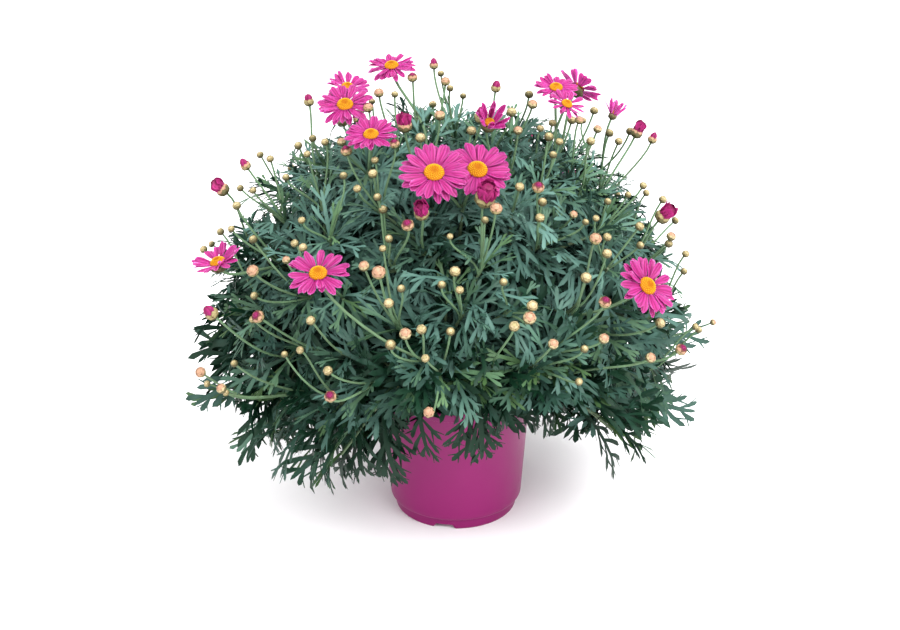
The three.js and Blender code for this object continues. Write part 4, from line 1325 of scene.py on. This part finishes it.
bud_skin, tree, surface = new_material("bud_skin", 0.6, 0.2)
place = join_in(tree, "ShaderNodeTexCoord")
specks = join_in(tree, "ShaderNodeTexNoise", {
    "Vector": place.outputs["Object"], "Scale": 900.0, "Detail": 3.0,
})
tint = join_in(tree, "ShaderNodeAttribute", attribute_name="tint")
shade = join_in(tree, "ShaderNodeVectorMath", {0: tint.outputs["Color"]}, operation="SCALE")
tree.links.new(scaled(tree, specks.outputs["Fac"], 0.55, 1.35), shade.inputs["Scale"])
tree.links.new(shade.outputs[0], surface.inputs["Base Color"])

buds = []


def add_bud(point, facing, toward, diameter, kind):
    """Adds a bud and draws its stalk."""
    radius = BUD_SHARE * diameter
    spin = 2 * math.pi * chance(len(buds), 8)
    buds.append((point, turn_of(facing, spin), radius * MM, kind))
    tone = 0.8 + 0.2 * chance(len(buds), 9)
    tuft = tuft_under(point, toward)
    add_stalk(point - facing * 0.8 * radius, facing, tuft, BUD_STALK, 0.6 + 0.03 * diameter, tone)


taken = [direction(b[0], b[1]) for b in BLOOMS]
for rows, kinds, distance in BUD_TABLES:
    for n, (azimuth, rise, diameter, *further) in enumerate(rows):
        toward = direction(azimuth, rise)
        facing = unit(toward + 0.7 * UP + lean(len(buds), BUD_LEAN))
        point = BUSH_CENTRE + toward * (distance + sum(further))
        add_bud(point, facing, toward, diameter, kinds[n % 2])
        taken.append(toward)

for i in range(MAIN_SHOOTS):
    toward = spread(i, MAIN_SHOOTS, MAIN_LOWEST, MAIN_TURN)
    if toward[2] < LOWEST_BUD:
        continue
    east = unit(np.cross(UP, toward))
    sway = direction(360 * chance(i, 3), 0) * SHOOT_BUD_SWAY
    aside = east * sway[0] + np.cross(toward, east) * sway[1]
    point = in_bush(toward, mix(*SHOOT_BUD_REACH, chance(i, 1))) + aside
    facing = unit(toward + 0.35 * UP)
    kind = (GREEN_KINDS + CREAM_KINDS)[i % 4]
    add_bud(point - facing * 4, facing, toward, mix(*SHOOT_BUD_SIZES, chance(i, 2)), kind)
    taken.append(toward)

for i in range(BACK_BUDS):
    toward = spread(i, BACK_BUDS, LOWEST_BUD, BACK_TURN)
    faced = toward @ direction(-90, CAMERA_TILT)
    crowded = max(t @ toward for t in taken) > BACK_CLEAR
    if faced > BACK_FACED or toward[2] > BACK_HIGHEST or crowded:
        continue
    kind = (GREEN_KINDS + GREEN_KINDS + CREAM_KINDS + BLUSH_KINDS + CONE_KINDS)[int(10 * chance(i, 61))]
    sizes = BACK_SMALL_SIZES if kind in GREEN_KINDS else BACK_LARGE_SIZES
    diameter = mix(*sizes, chance(i, 62))
    toward = unit(toward + lean(500 + i, 0.05))
    facing = unit(toward + 0.35 * UP + lean(600 + i, 0.2))
    point = BUSH_CENTRE + toward * mix(*BACK_DISTANCES, chance(i, 63))
    add_bud(point, facing, toward, diameter, kind)

bud_mesh = grown(copy_patterns, points_for(buds), {"Patterns": bud_patterns, "Material": bud_skin})
show("buds", bud_mesh, bud_skin, "foliage")

# Cups: the green cup under each bloom holds its petals. It is like a bud, pressed flat and cut
# off at the top, and it sits on the end of the stalk.
CUP_WIDTH = 0.165  # shares of the bloom's diameter
CUP_HEIGHT = 0.085

cup_patterns = kept_apart("cup_patterns", [bud_pattern(781, (OLIVE, OLIVE, MOSS), OLIVE, closed_top=False)])
cups = []
for azimuth, rise, distance, diameter, face_turn, face_rise, *_ in BLOOMS:
    facing = direction(face_turn, face_rise)
    point = BUSH_CENTRE + direction(azimuth, rise) * distance
    wide = CUP_WIDTH * diameter
    flat = CUP_HEIGHT * diameter
    cups.append((point - facing * 0.8 * flat, turn_of(facing), (wide * MM, wide * MM, flat * MM), 0))
cup_mesh = grown(copy_patterns, points_for(cups), {"Patterns": cup_patterns, "Material": bud_skin})
show("bloom_cups", cup_mesh, bud_skin, "foliage")

# Pink heads: buds that are about to open. Closed ones are a folded cone with upright petals
# close round it. Half-open ones hold their petals up round a small disc.
PINK_HEADS = [  # azimuth, rise, distance, diameter, length, azimuth and rise that it faces, how open
    (-66, 71, 250, 16, 17, -70, 55, 0.6),
    (8, 57, 254, 10.5, 12, 8, 66, 0.65),
    (-78, 55, 246, 18, 16, -72, 56, 0),
    (-97, 52, 246, 13, 14, -100, 52, 0),
    (-25, 41, 249, 14, 13, -30, 52, 0),
    (15, 49, 253, 10, 15, 12, 66, 0),
    (-113, 71, 251, 11, 15, -110, 82, 0),
    (-171, 42, 249, 11, 15, -172, 44, 0),
    (120, 40, 249, 11, 15, 120, 60, 0),
]
BLUNT_HEAD = [(0, 0.1), (0.72, 0.3), (0.90, 0.8), (0.88, 1.3), (0.72, 1.75), (0.38, 2.0), (0, 1.95)]
POINTED_HEAD = [(0, 0.1), (0.86, 0.35), (0.90, 0.9), (0.70, 1.45), (0.34, 1.85), (0, 1.95)]
POINTED, BLUNT, HALF_OPEN = 0, 1, 2
HEAD_CUPS = (0.5, 0.42, 0.34)  # the cup's radius as a share of the diameter, for each kind
HEAD_PETALS = (  # outer and inner petals, seat, length, width, unevenness, rise when shut and when open
    (7, 0, 0.84, 0.66, 0.42, 0.06, 103, 103),
    (11, 0, 0.84, 0.92, 0.31, 0.08, 98, 98),
    (8, 4, 0.7, 1.1, 0.16, 0.24, 92, 40),
)
HEAD_STALK = (1.05, 0.95, 0.9)  # first radius, last radius and tone
head_patterns = kept_apart("head_patterns", [
    bud_pattern(791, (OLIVE, MOSS, BLUSH), BUD_PINK, POINTED_HEAD, 28, 7),
    bud_pattern(811, (OLIVE, MOSS, STRAW), BUD_PINK, BLUNT_HEAD, 48, 12),
    bud_pattern(801, (OLIVE, OLIVE, MOSS), BUD_PINK, closed_top=False),
])
for i, row in enumerate(PINK_HEADS):
    azimuth, rise, distance, diameter, length, face_turn, face_rise, openness = row
    toward = direction(azimuth, rise)
    point = BUSH_CENTRE + toward * distance
    facing = direction(face_turn, face_rise)
    closed_kind = BLUNT if length < 1.2 * diameter else POINTED
    kind = HALF_OPEN if openness else closed_kind
    cup_radius = HEAD_CUPS[kind] * diameter
    seat = point - facing * 0.25 * length
    name = f"pink_head_{i + 1:02d}"
    head = [(seat, turn_of(facing, i), cup_radius * MM, kind)]
    base = grown(copy_patterns, points_for(head), {"Patterns": head_patterns, "Material": bud_skin})
    show(f"{name}_bud", base, bud_skin, "bud_petals", name)
    outer, inner, ring, long, wide, uneven, shut, opened = HEAD_PETALS[kind]
    lift = mix(shut, opened, openness)
    skin = petal_pink if openness else bud_skin
    petals = petals_round(
        outer, inner, ring * cup_radius, long * length, wide * diameter, lift, uneven, 90 + i, skin
    )
    if not openness:
        # Painted light and shade: a shut head's petals are darker deep in the folds and paler on the outer
        # ridges. They also grow paler towards the top.
        tints = []
        for corner in petals.vertices:
            out = math.hypot(corner.co.x, corner.co.y) / (cup_radius * MM)
            fold_light_and_shade = min(1.8, max(0.15, 2.6 * (out - 0.6 + 12 * corner.co.z)))
            tints.append((*mix(np.array(BUD_PINK), np.array(BUD_ROSE), fold_light_and_shade), 1))
        set_values(petals, "tint", "FLOAT_COLOR", tints)
    set_in_place(petals, seat + facing * 0.3 * cup_radius, facing)
    show(f"{name}_petals", petals, skin, "bud_petals")
    if openness:
        disc = disc_of(FLORETS // 2, 0.8 * cup_radius, 0.75 * cup_radius, 0.5 * cup_radius)
        set_in_place(disc, seat + facing * 0.8 * cup_radius, facing)
        show(f"{name}_florets", disc, disc_yellow, "discs")
    add_stalk(seat - facing * 0.85 * cup_radius, facing, tuft_under(point, toward), *HEAD_STALK)

# Stalks: the stems, shoots and stalks of all the sections above are drawn as one piece. They
# are round and taper, brown and woody at the foot and pale green further out.
STALK_SIDES = 5
BARK_COLOUR = (0.060, 0.052, 0.030, 1)
STALK_COLOUR = (0.092, 0.165, 0.085, 1)

tube_tree, given = new_tree("tube_along_path", [
    ("Sides", "Int", STALK_SIDES), ("Material", "Material", None),
])
curve = join_in(tube_tree, "GeometryNodeMeshToCurve", {"Mesh": given["Geometry"]})
ring = join_in(tube_tree, "GeometryNodeCurvePrimitiveCircle", {"Resolution": given["Sides"], "Radius": 1.0})
tube = join_in(tube_tree, "GeometryNodeCurveToMesh", {
    "Curve": curve.outputs[0], "Profile Curve": ring.outputs[0], "Fill Caps": True,
    "Scale": stored(tube_tree, "thick", "FLOAT"),
})
smooth = join_in(tube_tree, "GeometryNodeSetShadeSmooth", {"Geometry": tube.outputs[0]})
end_tree(tube_tree, smooth.outputs[0], given["Material"])


def tubes(lines, sides, material):
    """One mesh of tubes along lines of (points, first radius, last radius, tone)."""
    points, edges, radii, tones = [], [], [], []
    for line, first, last, tone in lines:
        start = len(points)
        points += [tuple(p * MM) for p in line]
        edges += [(start + n, start + n + 1) for n in range(len(line) - 1)]
        radii += [mix(first, last, n / (len(line) - 1)) * MM for n in range(len(line))]
        tones += [tone] * len(line)
    base = bpy.data.meshes.new("lines")
    base.from_pydata(points, edges, [])
    set_values(base, "thick", "FLOAT", radii)
    set_values(base, "tone", "FLOAT", tones)
    return grown(tube_tree, base, {"Sides": sides, "Material": material})


stalk_green, tree, surface = new_material("stalk_green", 0.6, 0.2)
place = join_in(tree, "ShaderNodeTexCoord")
cloud = join_in(tree, "ShaderNodeTexNoise", {"Vector": place.outputs["Object"], "Scale": 160.0})
spot = join_in(tree, "ShaderNodeMath", {0: cloud.outputs["Fac"], 1: 0.5}, operation="SUBTRACT")
tone = join_in(tree, "ShaderNodeMath", {
    0: shade_stored(tree, "tone"), 1: spot.outputs[0],
}, operation="ADD", use_clamp=True)
tree.links.new(blend(tree, tone.outputs[0], BARK_COLOUR, STALK_COLOUR), surface.inputs["Base Color"])

show("stalks", tubes([p[:4] for p in paths], STALK_SIDES, stalk_green), stalk_green, "foliage")

# Room: a plain white floor, a bright even sky and three large soft lamps. The camera looks down
# a little from the front.
CAMERA_AIM = np.array([-5.2, 0.0, 179.5])
CAMERA_DISTANCE = 1487
CAMERA_LENS = 70
SENSOR_WIDTH = 36
FLOOR_SIZE = 12
FLOOR_COLOUR = (0.94, 0.935, 0.945, 1)
SKY = 1.25
LAMPS = [  # azimuth and rise that it shines from, distance and size in metres, power in watts
    ("key_lamp", -48, 52, 2.0, 1.5, 82),
    ("fill_lamp", -150, 40, 2.2, 2.0, 32),
    ("back_lamp", 95, 55, 2.2, 2.0, 10),
]

floor_white, tree, surface = new_material("floor_white", 0.9, 0.1)
surface.inputs["Base Color"].default_value = FLOOR_COLOUR
half = FLOOR_SIZE / 2 / MM
corners = [(-half, -half, 0), (half, -half, 0), (half, half, 0), (-half, half, 0)]
floor_mesh = new_mesh("floor", corners, [[0, 1, 2, 3]])
floor_mesh.materials.append(floor_white)
floor = in_scene("floor", floor_mesh)

world = bpy.data.worlds.new("studio")
world.use_nodes = True
world.node_tree.nodes["Background"].inputs["Color"].default_value = (1, 1, 1, 1)
world.node_tree.nodes["Background"].inputs["Strength"].default_value = SKY
bpy.context.scene.world = world
bpy.context.scene.view_settings.view_transform = "Standard"
bpy.context.scene.view_settings.look = "None"


def lamp(name, azimuth, rise, distance, size, power):
    """A large square lamp that looks at the plant."""
    light = bpy.data.lights.new(name, "AREA")
    light.size = size
    light.energy = power
    holder = in_scene(name, light)
    back = Vector(direction(azimuth, rise))
    holder.location = Vector(CAMERA_AIM * MM) + back * distance
    holder.rotation_mode = "QUATERNION"
    holder.rotation_quaternion = (-back).to_track_quat("-Z", "Y")


for row in LAMPS:
    lamp(*row)

camera_data = bpy.data.cameras.new("camera")
camera_data.lens = CAMERA_LENS
camera_data.sensor_width = SENSOR_WIDTH
camera = in_scene("camera", camera_data)
back = Vector(direction(-90, CAMERA_TILT))
camera.location = Vector(CAMERA_AIM * MM) + back * CAMERA_DISTANCE * MM
camera.rotation_mode = "QUATERNION"
camera.rotation_quaternion = (-back).to_track_quat("-Z", "Y")
bpy.context.scene.camera = camera
